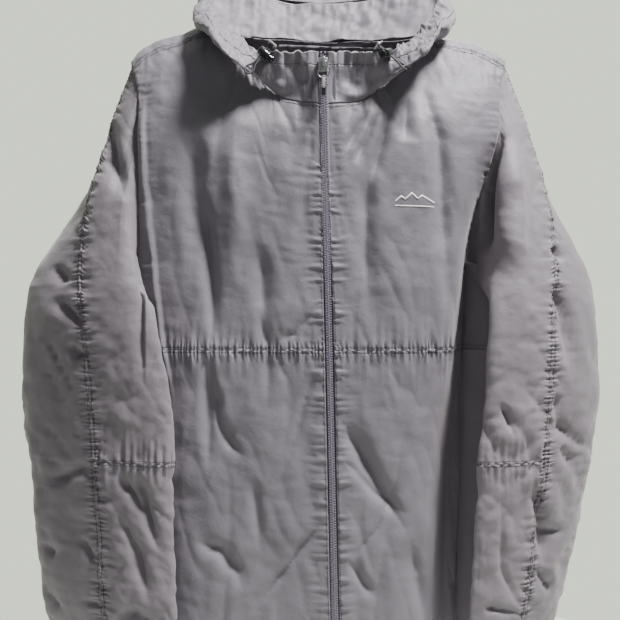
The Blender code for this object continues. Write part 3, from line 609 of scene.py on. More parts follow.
def link_groups(rows, columns, ring):
    """Pairs of points that pull on each other, in groups that each use a point as an end once at most."""
    number = np.arange(rows * columns).reshape(rows, columns)
    groups = []
    for down, across, strength in LINKS:
        for part in (0, 1):
            size = rows if down else columns
            starts = np.arange(size)
            starts = starts[(starts // (down or across)) % 2 == part]
            if down:
                i, j = np.meshgrid(starts[starts + down < rows], np.arange(columns), indexing="ij")
            else:
                i, j = np.meshgrid(np.arange(rows), starts, indexing="ij")
            k = j + across
            inside = np.ones(k.shape, bool) if ring else (k >= 0) & (k < columns)
            i, j, k = i[inside], j[inside], k[inside] % columns
            groups.append((number[i, j], number[i + down, k], down, across, strength))
    return groups


def settle(points, normals, extra, held, rounds, low, high, ring=False):
    """The cloth once it has buckled. extra is how much more cloth there is across and down each point."""
    rows, columns = points.shape[:2]
    start = points.reshape(-1, 3)
    outward = normals.reshape(-1, 3)
    place = start + outward * extra["seed"].reshape(-1, 1)
    across_extra, down_extra = extra["across"].ravel(), extra["down"].ravel()
    free = np.where(held.ravel(), 0.0, 1.0)
    jobs = []
    for a, b, down, across, strength in link_groups(rows, columns, ring):
        keep = free[a] + free[b] > 0
        a, b = a[keep], b[keep]
        if down == 0:
            more = (across_extra[a] + across_extra[b]) / 2
        elif across == 0:
            more = (down_extra[a] + down_extra[b]) / 2
        else:
            more = (across_extra[a] + across_extra[b] + down_extra[a] + down_extra[b]) / 4
        rest = np.linalg.norm(start[b] - start[a], axis=1) * (1 + more)
        share = strength / (free[a] + free[b])
        jobs.append((a, b, rest, (share * free[a])[:, None], (share * free[b])[:, None]))
    low, high = (np.broadcast_to(limit, points.shape[:2]).ravel() for limit in (low, high))
    for _ in range(rounds):
        for a, b, rest, share_a, share_b in jobs:
            gap = place[b] - place[a]
            length = np.sqrt(np.einsum("ij,ij->i", gap, gap))
            gap *= (1 - rest / np.maximum(length, 1e-9))[:, None]
            place[a] += gap * share_a
            place[b] -= gap * share_b
        height = np.einsum("ij,ij->i", place - start, outward)
        place += outward * (np.clip(height, low, high) - height)[:, None]
    return place.reshape(points.shape)


def held_edges(rows, columns, edges):
    """Which points of a grid can't move: those on the named edges."""
    held = np.zeros((rows, columns), bool)
    for edge in edges:
        turned_grid(held, edge)[0] = True
    return held


def distance_from_edges(points):
    """Distances along the grid from each of its edges."""
    from_left, from_top = distance_down(points.swapaxes(0, 1)).T, distance_down(points)
    return {
        "left": from_left,
        "right": from_left[:, -1:] - from_left,
        "top": from_top,
        "bottom": from_top[-1:] - from_top,
    }


class Sheet:
    """A grid of settled cloth with its way out and the cut it was sewn from (flat shape and extra cloth)."""

    def __init__(self, points, normals, shape, across, down, ring=False, weights=None):
        self.points, self.normals, self.shape, self.ring = points, normals, shape, ring
        self.weights = np.zeros(points.shape[:2]) if weights is None else weights
        self.strip_edge, self.strip = None, None
        steps = np.linalg.norm(np.diff(shape, axis=1), axis=2) * (1 + across[:, 1:])
        drops = np.linalg.norm(np.diff(shape, axis=0), axis=2) * (1 + down[1:])
        if ring:
            last = np.linalg.norm(shape[:, :1] - shape[:, -1:], axis=2) * (1 + across[:, :1])
            steps = np.hstack((steps, last))
            drops = np.hstack((drops, drops[:, :1]))
        self.u = np.pad(np.cumsum(steps, axis=1), ((0, 0), (1, 0)))
        self.v = np.pad(np.cumsum(drops, axis=0), ((1, 0), (0, 0)))
        self.width, self.length = float(self.u[:, -1].max()), float(self.v[-1].max())
        closed = np.hstack((shape, shape[:, :1])) if ring else shape
        diagonals = closed[1:, 1:] - closed[:-1, :-1], closed[1:, :-1] - closed[:-1, 1:]
        cells = np.linalg.norm(np.cross(*diagonals), axis=2) / 2
        more = (1 + across[1:, : cells.shape[1]]) * (1 + down[1:, : cells.shape[1]])
        self.area = float((cells * more).sum())

    def channels(self):
        """Everything known at each point, side by side: place, way out, cut, weight and unsettled place."""
        cut = np.stack((self.u, self.v, self.weights), axis=-1)
        return np.concatenate((self.points, self.normals, cut, self.shape), axis=-1)

    def pucker(self, edge, reach=0.013, times=4, pitch=0.0044, height=0.0009):
        """Makes the strip beside a sewn edge again, finer and with the tight puckers of its stitching."""
        grid = turned_grid(self.channels(), edge)
        away = distance_down(grid[..., 9:])
        count = int((away.mean(axis=1) < reach).sum())
        columns = grid.shape[1]
        places = np.linspace(0, columns - 1, (columns - 1) * times + 1)
        first = np.minimum(places.astype(int), columns - 2)
        share = (places - first)[None, :, None]
        fine = grid[:count, first] * (1 - share) + grid[:count, first + 1] * share
        away = distance_down(fine[..., 9:])
        seam = fine[0, :, 9:]
        along = lengths_along(seam)
        wave = np.sin(2 * math.pi * along / pitch + 3.5 * noise(seam, 0.011, 61))
        wave += 0.8 * np.sin(2 * math.pi * along / (2.7 * pitch) + 4.0 * noise(seam, 0.025, 62))
        strength = height * (0.65 + 0.5 * noise(seam, 0.017, 63))
        run = 0.0026 + 0.0060 * np.clip(noise(seam, 0.0075, 64), 0, 1)
        swell = 0.45 + 0.55 * ease(away / 0.0040)
        beyond = np.exp(-((np.maximum(away - SEAM_HALF, 0) / run) ** 2))
        groove = 0.0004 * np.exp(-(((away - SEAM_HALF) / 0.0007) ** 2))
        fine[..., :3] += fine[..., 3:6] * (wave * strength * swell * beyond - groove)[..., None]
        self.strip_edge, self.strip, self.strip_rows, self.strip_times = edge, fine, count, times

    def line(self, edge, distance):
        """Points, normals and weights along the sheet at a distance from one of its edges."""
        grid = self.strip if edge == self.strip_edge else turned_grid(self.channels(), edge)
        away = distance_down(grid[..., 9:])
        columns = np.arange(grid.shape[1])
        index = np.clip((away < distance).sum(axis=0), 1, len(away) - 1)
        low, high = away[index - 1, columns], away[index, columns]
        share = np.clip((distance - low) / (high - low), 0.0, 1.0)[:, None]
        normal = grid_normal(grid[..., :3])
        normal *= np.sign(np.sum(normal * grid[..., 3:6]))
        place = grid[index - 1, columns, :3] * (1 - share) + grid[index, columns, :3] * share
        weight = grid[index, columns, 8]
        return place, unit(normal[index - 1, columns] + normal[index, columns]), weight


def part_of(grids, rows, columns=slice(None)):
    """A sheet cut out of larger grids: settled, normals, shape, across, down and maybe weights."""
    parts = [grid[rows][:, columns] for grid in grids]
    return Sheet(*parts[:5], weights=parts[5] if parts[5:] else None)


def turned_grid(grid, edge):
    """The grid with the given edge as its first row."""
    grid = grid.swapaxes(0, 1) if edge in ("left", "right") else grid
    return grid[::-1] if edge in ("right", "bottom") else grid


def distance_down(points):
    """Distances along the grid from its first row."""
    return np.pad(np.cumsum(np.linalg.norm(np.diff(points, axis=0), axis=2), axis=0), ((1, 0), (0, 0)))


def settled_sheet(points, normals, gathers, folds=0.0, ring=False, rounds=70, reach=0.010, clear_of=None):
    """Cloth gathered along some edges; gathers lists (edge, how much more cloth, over what distance).

    folds is how far the cloth stands out before it settles, reach how far it may move from there, and
    clear_of an edge beside which it stays out of the zip's way.
    """
    rows, columns = points.shape[:2]
    edges = distance_from_edges(points)
    across = np.full((rows, columns), 0.006)
    down = np.full((rows, columns), 0.005)
    seed = uneven(points, (0.0009, 0.030, 3), (0.0003, 0.011, 4))
    for edge, amount, width in gathers:
        more = amount * near(edges[edge], width)
        wave = 0.0011 * more / 0.10
        if edge in ("left", "right"):
            down += more
            seed += wave * uneven(points, (1, (0.060, 0.060, 0.0050), 5), (2, (0.050, 0.050, 0.013), 6))
        else:
            across += more
            seed += wave * uneven(points, (1, (0.0042, 0.0060, 0.060), 5), (2, (0.011, 0.014, 0.050), 6))
    shape = points + normals * np.broadcast_to(folds, (rows, columns))[..., None]
    held = held_edges(rows, columns, ("top",) if ring else ("top", "bottom", "left", "right"))
    low = -reach
    if clear_of:
        low = -reach * ease((edges[clear_of] - 0.011) / 0.010) - 0.0002
    extra = {"across": across, "down": down, "seed": np.where(held, 0.0, seed)}
    settled = settle(shape, normals, extra, held, rounds, low, reach, ring)
    inner = np.minimum.reduce([edges[edge] for edge in edges])
    fine = creases(points, (0.0008, (0.012, 0.020, 0.034), 15, 25), (0.0005, (0.026, 0.03, 0.012), 16, 12))
    settled += normals * (fine * ease((inner - 0.003) / 0.012))[..., None]
    return Sheet(settled, normals, shape, across, down, ring)


def quads(rows, columns, first=0):
    i, j = np.meshgrid(np.arange(rows - 1), np.arange(columns - 1), indexing="ij")
    start = first + (i * columns + j).ravel()
    return np.stack((start, start + columns, start + columns + 1, start + 1), axis=1).tolist()


def ring_parts(sheet):
    """Points, faces and cut of a closed ring of cloth."""
    rows, columns = sheet.points.shape[:2]
    i, j = np.meshgrid(np.arange(rows - 1), np.arange(columns), indexing="ij")
    i, j = i.ravel(), j.ravel()
    k = (j + 1) % columns
    row, below = i * columns, (i + 1) * columns
    faces = np.stack((row + j, below + j, below + k, row + k), axis=1)
    corners = ((i, j), (i + 1, j), (i + 1, j + 1), (i, j + 1))
    cut = np.stack([np.stack((sheet.u[a, b], sheet.v[a, b]), axis=1) for a, b in corners], axis=1)
    if np.sum(grid_normal(sheet.points, True) * sheet.normals) > 0:
        faces, cut = faces[:, ::-1], cut[:, ::-1]
    weights = np.zeros(rows * columns)
    points = sheet.points.reshape(-1, 3)
    return {"points": points, "faces": faces.tolist(), "cut": cut.reshape(-1, 2), "weights": weights}


def sheet_parts(sheet):
    """Points, faces, cut and weights of a sheet, with its finer strip sewn on."""
    edge, strip = sheet.strip_edge, sheet.strip
    grid = turned_grid(sheet.channels(), edge)
    if strip is None:
        points = grid.reshape(-1, grid.shape[2])
        faces = quads(*grid.shape[:2])
    else:
        main = grid[sheet.strip_rows :]
        times, wide, narrow = sheet.strip_times, strip.shape[1], main.shape[1]
        points = np.vstack((main.reshape(-1, grid.shape[2]), strip.reshape(-1, grid.shape[2])))
        start = main.shape[0] * narrow
        last = start + (len(strip) - 1) * wide
        faces = quads(*main.shape[:2]) + quads(*strip.shape[:2], start)
        # One face for each coarse step, with all the fine points of the strip's edge
        for j in range(narrow - 1):
            faces.append((j, j + 1, *range(last + (j + 1) * times, last + j * times - 1, -1)))
    if np.sum(grid_normal(grid[..., :3]) * grid[..., 3:6]) > 0:
        faces = [face[::-1] for face in faces]
    order = np.array([corner for face in faces for corner in face])
    return {"points": points[:, :3], "faces": faces, "cut": points[order, 6:8], "weights": points[:, 8]}


def cloth_mesh(name, parts):
    faces, first = [], 0
    for part in parts:
        faces += [[corner + first for corner in face] for face in part["faces"]]
        first += len(part["points"])
    mesh = new_mesh(name, np.vstack([part["points"] for part in parts]).tolist(), faces)
    layer = mesh.uv_layers.new(name="cut")
    layer.data.foreach_set("uv", np.vstack([part["cut"] for part in parts]).reshape(-1))
    return mesh


def new_mesh(name, points, faces):
    mesh = bpy.data.meshes.new(name)
    mesh.from_pydata(points, [], faces)
    mesh.shade_smooth()
    return mesh


def new_object(name, data):
    item = bpy.data.objects.new(name, data)
    bpy.context.scene.collection.objects.link(item)
    return item


def add_layer(item, thickness, offset):
    layer = item.modifiers.new("layer", "SOLIDIFY")
    layer.thickness = thickness
    layer.offset = offset


def add_piece(name, data, kind, body=None, node=None):
    """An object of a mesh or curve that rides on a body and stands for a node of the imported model."""
    item = new_object(name, data)
    data.materials.append(kind)
    if body:
        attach(item, body)
    if node:
        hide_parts(node)
    return item


def hang(node, sheets, kind, body="jacket", towards=None, thickness=LAYER, name=None):
    """The piece of one or more sheets, on the given body. Where it crosses a joint (towards given), it rides
    on no body and only has its transform baked in.
    """
    name = name or f"cloth_{node}"
    parts = [ring_parts(sheet) if sheet.ring else sheet_parts(sheet) for sheet in sheets]
    item = add_piece(name, cloth_mesh(name, parts), kind, None if towards else body, node)
    if towards:
        blend(item)
    add_layer(item, thickness, -1)
    return item


def blend(item):
    """Cloth that crosses a joint: its transform is baked into its points."""
    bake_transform(item)


# Materials


def new_material(name, colour, roughness, metallic=0.0, **values):
    """A material with its node tree and shader; values go to the shader's sockets."""
    made = bpy.data.materials.new(name)
    made.use_nodes = True
    shader = made.node_tree.nodes["Principled BSDF"]
    set_values(shader, Base_Color=(*colour, 1.0), Roughness=roughness, Metallic=metallic, **values)
    return made, made.node_tree, shader


def set_values(node, **values):
    for name, value in values.items():
        node.inputs[name.replace("_", " ")].default_value = value


def add_node(tree, kind, *links, **values):
    """Adds a shader node; links are pairs of an output and the socket that it feeds."""
    node = tree.nodes.new("ShaderNode" + kind)
    for source, socket in links:
        tree.links.new(source, node.inputs[socket])
    set_values(node, **values)
    return node


def add_bump(tree, shader, height, strength, distance):
    bump = add_node(tree, "Bump", (height, "Height"), Strength=strength, Distance=distance)
    tree.links.new(bump.outputs["Normal"], shader.inputs["Normal"])


def colour_band(tree, source, *stops):
    """A ramp through two (position, colour) stops."""
    band = add_node(tree, "ValToRGB", (source, "Fac"))
    for element, (position, colour) in zip(band.color_ramp.elements, stops):
        element.position = position
        element.color = (*colour, 1.0)
    return band


def cloth_material(name, dark, light, roughness=0.50):
    """Thin plain-woven nylon: a fine weave, small crinkles and a colour that drifts a little."""
    made, tree, shader = new_material(name, light, roughness, **CLOTH_SHEEN)
    place = add_node(tree, "TexCoord").outputs
    drift = add_node(tree, "TexNoise", (place["Object"], "Vector"), **DRIFT)
    colours = colour_band(tree, drift.outputs["Fac"], (0.35, dark), (0.65, light))
    tree.links.new(colours.outputs["Color"], shader.inputs["Base Color"])
    crinkle = add_node(tree, "TexNoise", (place["Object"], "Vector"), **CRINKLE)
    height = crinkle.outputs["Fac"]
    for axis in ("X", "Y"):
        weave = add_node(tree, "TexWave", (place["UV"], "Vector"), **WEAVE)
        weave.bands_direction = axis
        add = add_node(tree, "Math", (weave.outputs["Fac"], 0), (height, 2))
        add.operation = "MULTIPLY_ADD"
        add.inputs[1].default_value = WEAVE_SHARE
        height = add.outputs["Value"]
    add_bump(tree, shader, height, *CLOTH_BUMP)
    return made


def grained_material(name, colour, roughness, metallic, scale, strength):
    """A plain finish with a fine grain in its surface and its roughness."""
    made, tree, shader = new_material(name, colour, roughness, metallic)
    place = add_node(tree, "TexCoord").outputs
    noisy = add_node(tree, "TexNoise", (place["Object"], "Vector"), Scale=scale, Detail=3.0)
    grain = noisy.outputs["Fac"]
    add_bump(tree, shader, grain, strength, GRAIN_DEPTH)
    limits = {"To_Min": roughness * (1 - GRAIN_SPREAD), "To_Max": roughness * (1 + GRAIN_SPREAD)}
    span = add_node(tree, "MapRange", (grain, "Value"), **limits)
    tree.links.new(span.outputs["Result"], shader.inputs["Roughness"])
    return made


def make_materials():
    looks = {part: cloth_material(f"{part}_nylon", *colours) for part, colours in CLOTH_COLOURS.items()}
    for part, (name, colour, roughness, metallic, scale, strength) in FINISHES.items():
        looks[part] = grained_material(name, colour, roughness, metallic, scale, strength)
    return looks


# Stitching


def stitch_mesh(name, lines):
    """Short threads along lines, each given as its points, normals and weights."""
    corners, faces = [], []
    for path, out, _ in lines:
        along = lengths_along(path)
        places = np.arange(STITCH_PITCH, along[-1] - STITCH_PITCH, STITCH_PITCH)
        centre = sampled(path, along, places)
        normal = unit(sampled(out, along, places))
        run = unit(sampled(path, along, places + 0.0008) - centre)
        side = unit(np.cross(run, normal))
        for sa, sb, sc in np.ndindex(2, 2, 2):
            corner = centre + run * (sa - 0.5) * STITCH_LENGTH + side * (sb - 0.5) * THREAD
            corners.append(corner + normal * ((sc - 0.45) * THREAD))
    blocks, first = [], 0
    for index in range(0, len(corners), 8):
        block = np.stack(corners[index : index + 8], axis=1)
        count = len(block)
        blocks.append(block.reshape(-1, 3))
        base = first + np.arange(count)[:, None, None] * 8
        faces.append((base + np.array(BOX_SIDES)).reshape(-1, 4))
        first += count * 8
    return new_mesh(name, np.vstack(blocks).tolist(), np.vstack(faces).tolist())


# Body


def shared_lift(points):
    """The folds and the gentle unevenness that neighbouring body panels share, so that their seams meet."""
    height = uneven(points, (0.0018, (0.035, 0.060, 0.150), 11), (0.0006, (0.014, 0.030, 0.060), 12))
    height += creases(points, (0.0032, (0.034, 0.060, 0.150), 13, 8), (0.0014, (0.020, 0.03, 0.07), 14, -20))
    front = ease((-0.005 - points[..., 1]) / 0.02)
    height += (fold_height(points, BODY_FOLDS) + pleat_height(points, BODY_PLEATS)) * front
    for line, width, deep in NECK_HOLLOWS:
        distance, _, _ = line_distance(points, line)
        height += deep * np.exp(-((distance / width) ** 2)) * front
    line, width, deep = RIGHT_HOLLOW
    distance, side, _ = line_distance(points, line)
    distance = np.where(side > 0, 0.0, distance)
    fade = ease((-0.10 - points[..., 2]) / 0.16)
    height += deep * np.exp(-((distance / width) ** 2)) * front * fade
    middle = ease((np.abs(points[..., 0] - zip_x(points[..., 2])) - 0.006) / 0.020)
    return height * middle


def body_sheet(grid, gathers, reach=0.008, clear_of=None):
    """Settled cloth over a grid of (q, w)."""
    points = body_point(grid[..., 0], grid[..., 1])
    normals = body_normal(grid[..., 0], grid[..., 1])
    return settled_sheet(points, normals, gathers, shared_lift(points), reach=reach, clear_of=clear_of)


def to_side(sign, inner, across, round_side):
    """Values of q from an inner line to the corner of the armhole and on to the side of the body."""
    corner = sign * ARMHOLE[ARMHOLE_CORNER][0]
    return np.concatenate((inner + (corner - inner) * across, corner + (sign - corner) * round_side[1:]))


def side_block(sign, face, start_rows, bottom_z, round_side):
    """The part of a panel under the armhole, from the armhole's corner to the side of the body."""
    corner_q, corner_z = ARMHOLE[ARMHOLE_CORNER]
    first = ARMHOLE_CORNER + 2
    top = curve(armhole_points(sign, face), round_side, first, None, HOLE_SCALE)
    heights = corner_z + (bottom_z - corner_z) * start_rows
    inner = level(np.full(len(start_rows), sign * corner_q), heights, face)
    outer_z = ARMHOLE[-1][1] + (bottom_z - ARMHOLE[-1][1]) * start_rows
    outer = level(np.full(len(start_rows), float(sign)), outer_z, face)
    bottom = level(sign * (corner_q + (1 - corner_q) * round_side), bottom_z, face)
    return coons(top, bottom, inner, outer, round_side, start_rows)


def armhole_side(sign, face, first, down, hole_end, bottom_z):
    """A panel's outer edge: along the armhole to its corner and then straight down."""
    corner_q, corner_z = ARMHOLE[ARMHOLE_CORNER]
    hole = down <= hole_end
    shares = down[hole] / down[hole][-1]
    edge = curve(armhole_points(sign, face), shares, first, ARMHOLE_CORNER + 2, HOLE_SCALE)
    rest = (down[~hole] - down[hole][-1]) / (1 - down[hole][-1])
    below = level(np.full(len(rest), sign * corner_q), corner_z + (bottom_z - corner_z) * rest, face)
    return np.vstack((edge, below)), np.concatenate(([0.0], rest))


def top_edge(sign, across, neck_end, front):
    """Along the neckline to its corner and then along the forward seam to the tip of the shoulder."""
    on_neck = across <= neck_end
    neck = [(sign * q, w) for q, w in NECKLINE]
    share = across[on_neck] / neck_end
    if front:
        neck_edge = curve(neck, share, 0, NECK_CORNER, NECK_SCALE)
    else:
        neck_edge = curve(neck, 1 - share, NECK_CORNER, None, NECK_SCALE)
    share = ((across[~on_neck] - neck_end) / (1 - neck_end))[:, None]
    corner, tip = (np.array((sign * q, -FORWARD_SEAM)) for q in (NECKLINE[NECK_CORNER][0], SEAM_Q))
    return np.vstack((neck_edge, corner * (1 - share) + tip * share))


def front_panels(side, looks, stitches):
    sign = SIDES[side]
    across, round_side = graded(0.190, CLOTH_STEP, True, False), even(14)
    upper = front_upper(side, across, round_side, looks, stitches)

    heights = CHEST_SEAM_Z + (HEM_SEAM_Z - CHEST_SEAM_Z) * graded(0.334, CLOTH_STEP)
    lower = body_sheet(front_rows(sign, heights, across, round_side), LOWER_GATHERS, clear_of="left")
    lower.pucker("top")
    hang(f"front_lower_{side}", (lower,), looks["shell"])
    seams = (("top", SEAM_HALF), ("left", FLY_STITCH), ("bottom", HEM_STITCH))
    stitches += [lower.line(*seam) for seam in seams]

    heights = HEM_SEAM_Z + (HEM_Z - HEM_SEAM_Z) * graded(0.027, CLOTH_STEP, True, False)
    hem_rows = front_rows(sign, heights, across, round_side)
    hem = body_sheet(hem_rows, HEM_GATHERS, reach=0.003, clear_of="left")
    hang(f"hem_front_{side}", (hem,), looks["shell"], thickness=HEM_LAYER)
    stitches.append(hem.line("top", HEM_STITCH))
    return upper


def front_upper(side, across, round_side, looks, stitches):
    """The upper front panel with its turn under the arm as a second sheet."""
    sign = SIDES[side]
    down = graded(0.345, CLOTH_STEP)
    neck_z = float(ridge(0.0)) + NECKLINE[0][1]
    inner = fly_edge(sign, neck_z + (CHEST_SEAM_Z - neck_z) * down)
    top = top_edge(sign, across, 6 / 11, True)
    top[0] = inner[0]
    outer, below = armhole_side(sign, -1, 1, down, 0.58, CHEST_SEAM_Z)
    seam_q = to_side(sign, inner[-1, 0], across, round_side)
    bottom = level(seam_q[: len(across)], CHEST_SEAM_Z, -1)
    upper = body_sheet(coons(top, bottom, inner, outer, across, down), UPPER_GATHERS, clear_of="left")
    flank = body_sheet(side_block(sign, -1, below, CHEST_SEAM_Z, round_side), (("bottom", 0.10, 0.012),))
    upper.pucker("bottom")
    flank.pucker("bottom")
    hang(f"front_upper_{side}", (upper, flank), looks["shell"])
    stitches += [upper.line("bottom", SEAM_HALF), flank.line("bottom", SEAM_HALF)]
    stitches += [upper.line("left", FLY_STITCH), upper.line("top", 0.0030)]
    return upper


def front_rows(sign, heights, across, round_side):
    """Level rows of (q, w) from the zip to the side."""
    edge = fly_edge(sign, heights)
    rows = [level(to_side(sign, q, across, round_side), z, -1) for q, z in zip(edge[:, 0], heights)]
    return np.stack(rows)


def joined_halves(make):
    """A left half and a right half that both run from the middle outwards, joined from left to right."""
    left, right = make(-1), make(1)
    return np.concatenate((left[:, :0:-1], right), axis=1)


def yoke_grid(sign):
    """The back yoke. Its outer edge first runs up from the forward seam to the tip of the shoulder."""
    across, down = even(56), even(40)
    top = top_edge(sign, across, 5 / 9, False)
    start_end = 2 / 8
    first_part = down < start_end
    climb = down[first_part] / start_end
    lead = np.stack((sign * (SEAM_Q + (TIP_Q - SEAM_Q) * climb), -FORWARD_SEAM * (1 - climb)), axis=1)
    shares = (down[~first_part] - start_end) / (1 - start_end)
    tail = curve(armhole_points(sign, 1), shares, 0, ARMHOLE_YOKE, HOLE_SCALE)
    outer = np.vstack((lead, tail))
    bottom = level(outer[-1, 0] * across, YOKE_SEAM_Z, 1)
    inner = np.zeros((len(down), 2))
    inner[:, 1] = top[0, 1] + (bottom[0, 1] - top[0, 1]) * down**1.6
    return coons(top, bottom, inner, outer, across, down)


def back_grid(sign):
    across, down = even(48), graded(0.550, 0.0042)
    outer, _ = armhole_side(sign, 1, ARMHOLE_YOKE, down, 0.13, HEM_SEAM_Z)
    top = level(outer[0, 0] * across, YOKE_SEAM_Z, 1)
    bottom = level(outer[-1, 0] * across, HEM_SEAM_Z, 1)
    inner = np.zeros((len(down), 2))
    inner[:, 1] = top[0, 1] + (bottom[0, 1] - top[0, 1]) * down
    return coons(top, bottom, inner, outer, across, down)


def hem_grid(sign):
    heights = HEM_SEAM_Z + (HEM_Z - HEM_SEAM_Z) * graded(0.027, 0.0030, True, False)
    return np.stack([level(sign * even(56), z, 1) for z in heights])


def facing_grid(sign):
    rows = [np.stack((sign * 0.19 * even(24), np.full(25, w)), axis=1) for w in 0.018 + 0.034 * even(14)]
    return np.stack(rows)


def back_panels(looks, stitches):
    yoke = body_sheet(joined_halves(yoke_grid), (("bottom", 0.10, 0.014), ("top", 0.05, 0.012)))
    hang("back_yoke", (yoke,), looks["shell"])
    lower = body_sheet(joined_halves(back_grid), (("top", 0.12, 0.020), ("bottom", 0.10, 0.020)))
    rows = graded(0.485, 0.0042)
    blocks = [side_block(sign, 1, rows, HEM_SEAM_Z, even(14)) for sign in SIDES.values()]
    flanks = [body_sheet(grid, (("bottom", 0.08, 0.020),)) for grid in blocks]
    hang("back_lower", (lower, *flanks), looks["shell"])
    hem = body_sheet(joined_halves(hem_grid), HEM_GATHERS, reach=0.003)
    hang("hem_back", (hem,), looks["shell"], thickness=HEM_LAYER)
    stitches += [yoke.line("bottom", HEM_STITCH), yoke.line("top", 0.0026), lower.line("top", 0.0034)]
    stitches += [lower.line("bottom", HEM_STITCH), hem.line("top", HEM_STITCH)]

    q, w = np.moveaxis(joined_halves(facing_grid), -1, 0)
    gathers = (("top", 0.03, 0.01),)
    facing = settled_sheet(body_point(q, w, inset=0.008), body_normal(q, w), gathers, rounds=30, reach=0.002)
    hang("neck_facing", (facing,), looks["shell"])


# Sleeves


def sleeve_ring(sign, ring, angle):
    """Points of a flattened ring: angle 0 is its outer edge, 90 its front, 180 its inner edge."""
    z, inner_x, inner_y, outer_x, outer_y = ring
    inner, outer = np.array((sign * inner_x, inner_y, z)), np.array((sign * outer_x, outer_y, z))
    middle, half = (inner + outer) / 2, (outer - inner) / 2
    forward = unit(np.array((half[1], -half[0], 0.0)))
    forward = forward if forward[1] < 0 else -forward
    turn = np.radians(angle)
    swell = np.sin(turn) * np.where(np.sin(turn) > 0, SLEEVE_FRONT_HALF, SLEEVE_BACK_HALF)
    taper = 0.55 + 0.45 * float(ease((z + 0.728) / 0.1))
    return middle + half * np.cos(turn)[:, None] + forward * (swell * taper)[:, None]


def sleeve_angles(side, share):
    """Where on the ring each share of the armhole's way round ends up."""
    twist = np.array(SLEEVE_TWIST[side], float)
    padded = np.concatenate((twist[:1], twist, twist[-1:]))
    steps = len(twist) - 1
    index = np.minimum((share * steps).astype(int), steps - 1)
    return through(*(padded[index + ahead] for ahead in range(4)), share * steps - index)


def armhole_ring(sign, share):
    """The sleeve's upper edge, tucked just behind the body's cloth."""
    down_part = share <= 0.5
    front = curve(armhole_points(sign, -1), share[down_part] * 2, 0, None, HOLE_SCALE)
    back = curve(armhole_points(sign, 1), (1 - share[~down_part]) * 2, 0, None, HOLE_SCALE)
    edge = np.vstack((front, back))
    points = body_point(edge[:, 0], edge[:, 1])
    behind = SLEEVE_TUCK
    if sign < 0:  # deeper on the left, where the body's cloth folds over the seam in front
        behind = SLEEVE_TUCK + 0.0060 * ease((-0.070 - points[:, 2]) / 0.05) * (points[:, 1] < 0)
    tucked = points + body_normal(edge[:, 0], edge[:, 1]) * (shared_lift(points) - behind)[:, None]
    return tucked - np.array((sign * 0.0022, 0.0, 0.0))


def sleeve_points(side, share, rail_steps, heights):
    """Rows round the sleeve: smooth rails from the armhole to the first ring, then rings at the heights."""
    sign = SIDES[side]
    start = armhole_ring(sign, share)
    angles = sleeve_angles(side, share)
    rings = np.array(SLEEVE_RINGS[side])
    end = sleeve_ring(sign, rings[0], angles)
    phi = 2 * math.pi * share
    reach = np.linalg.norm(end - start, axis=1)[:, None]
    under = 0.5 - 0.5 * np.cos(phi)
    forward = -0.30 * np.sin(phi) - 0.10 * under
    if side == "right":
        forward += 0.34 * ease((phi - 1.9) / 0.5) * ease((4.2 - phi) / 0.5)
    leave = np.stack((sign * (0.38 + 0.12 * under), forward, np.full(len(phi), -0.90)), axis=1)
    arrive = np.stack((sign * (0.20 - 0.30 * under), 0.22 - 0.10 * under, np.full(len(phi), 0.95)), axis=1)
    first, second = start + leave * reach * 0.35, end + arrive * reach * 0.30
    t = rail_steps[:, None, None]
    s = 1 - t
    rails = start * s**3 + first * 3 * s * s * t + second * 3 * s * t * t + end * t**3
    dense = curve(rings, even(200))
    levels = sampled(dense, -dense[:, 0], -heights)
    grid = np.concatenate((rails, np.stack([sleeve_ring(sign, ring, angles) for ring in levels])))
    low, high = len(rails) - JOINT_ROWS, len(rails) + JOINT_ROWS
    for _ in range(80):
        grid[low:high] += 0.8 * ((grid[low - 1 : high - 1] + grid[low + 1 : high + 1]) / 2 - grid[low:high])
    return grid


def ring_normals(points):
    normals = grid_normal(points, True)
    return normals * np.sign(np.sum(normals * (points - points.mean(axis=1, keepdims=True))))


def sleeve_shares():
    """Shares of the way round, finer at the long seam. The groups of links need a multiple of four."""
    half = graded(0.20, 0.0030, True, False)
    share = np.concatenate((half * 0.5, 1 - half[-2:0:-1] * 0.5))
    return np.delete(share, [len(half) - 1 - k for k in range(len(share) % 4)])


def crumpled(points):
    """How strong a sleeve's creases are: faint near the shoulder, full below it."""
    return 0.25 + 0.75 * ease((-0.30 - points[..., 2]) / 0.16)


def sleeve_lift(side, points, normals):
    """Creases all round, and the folds and pleats on the front."""
    sign = SIDES[side]
    lift = uneven(points, (0.0016, (0.030, 0.040, 0.070), 21), (0.0004, (0.016, 0.030, 0.022), 22))
    lift += creases(points, (0.0038, (0.032, 0.050, 0.090), 23, -32 * sign))
    lift += creases(points, (0.0016, (0.018, 0.030, 0.045), 24, 45 * sign))
    folds = fold_height(points, SLEEVE_FOLDS[side]) + pleat_height(points, SLEEVE_PLEATS[side])
    return lift * crumpled(points) + folds * ease(-points[..., 1] / 0.03) * (normals[..., 1] < 0.2)


def sleeve_distances(points, under, elbow):
    """Distances along the cloth from the long seam, the line under the arm, the armhole and the elbow."""
    step = np.linalg.norm(points - np.roll(points, 1, axis=1), axis=2)
    around = np.cumsum(step, axis=1) - step[:, :1]
    to_seam = np.minimum(around, step.sum(axis=1, keepdims=True) - around)
    to_under = np.abs(around - around[:, under : under + 1])
    from_top = distance_down(points)
    return to_seam, to_under, from_top, np.abs(from_top - from_top[elbow])


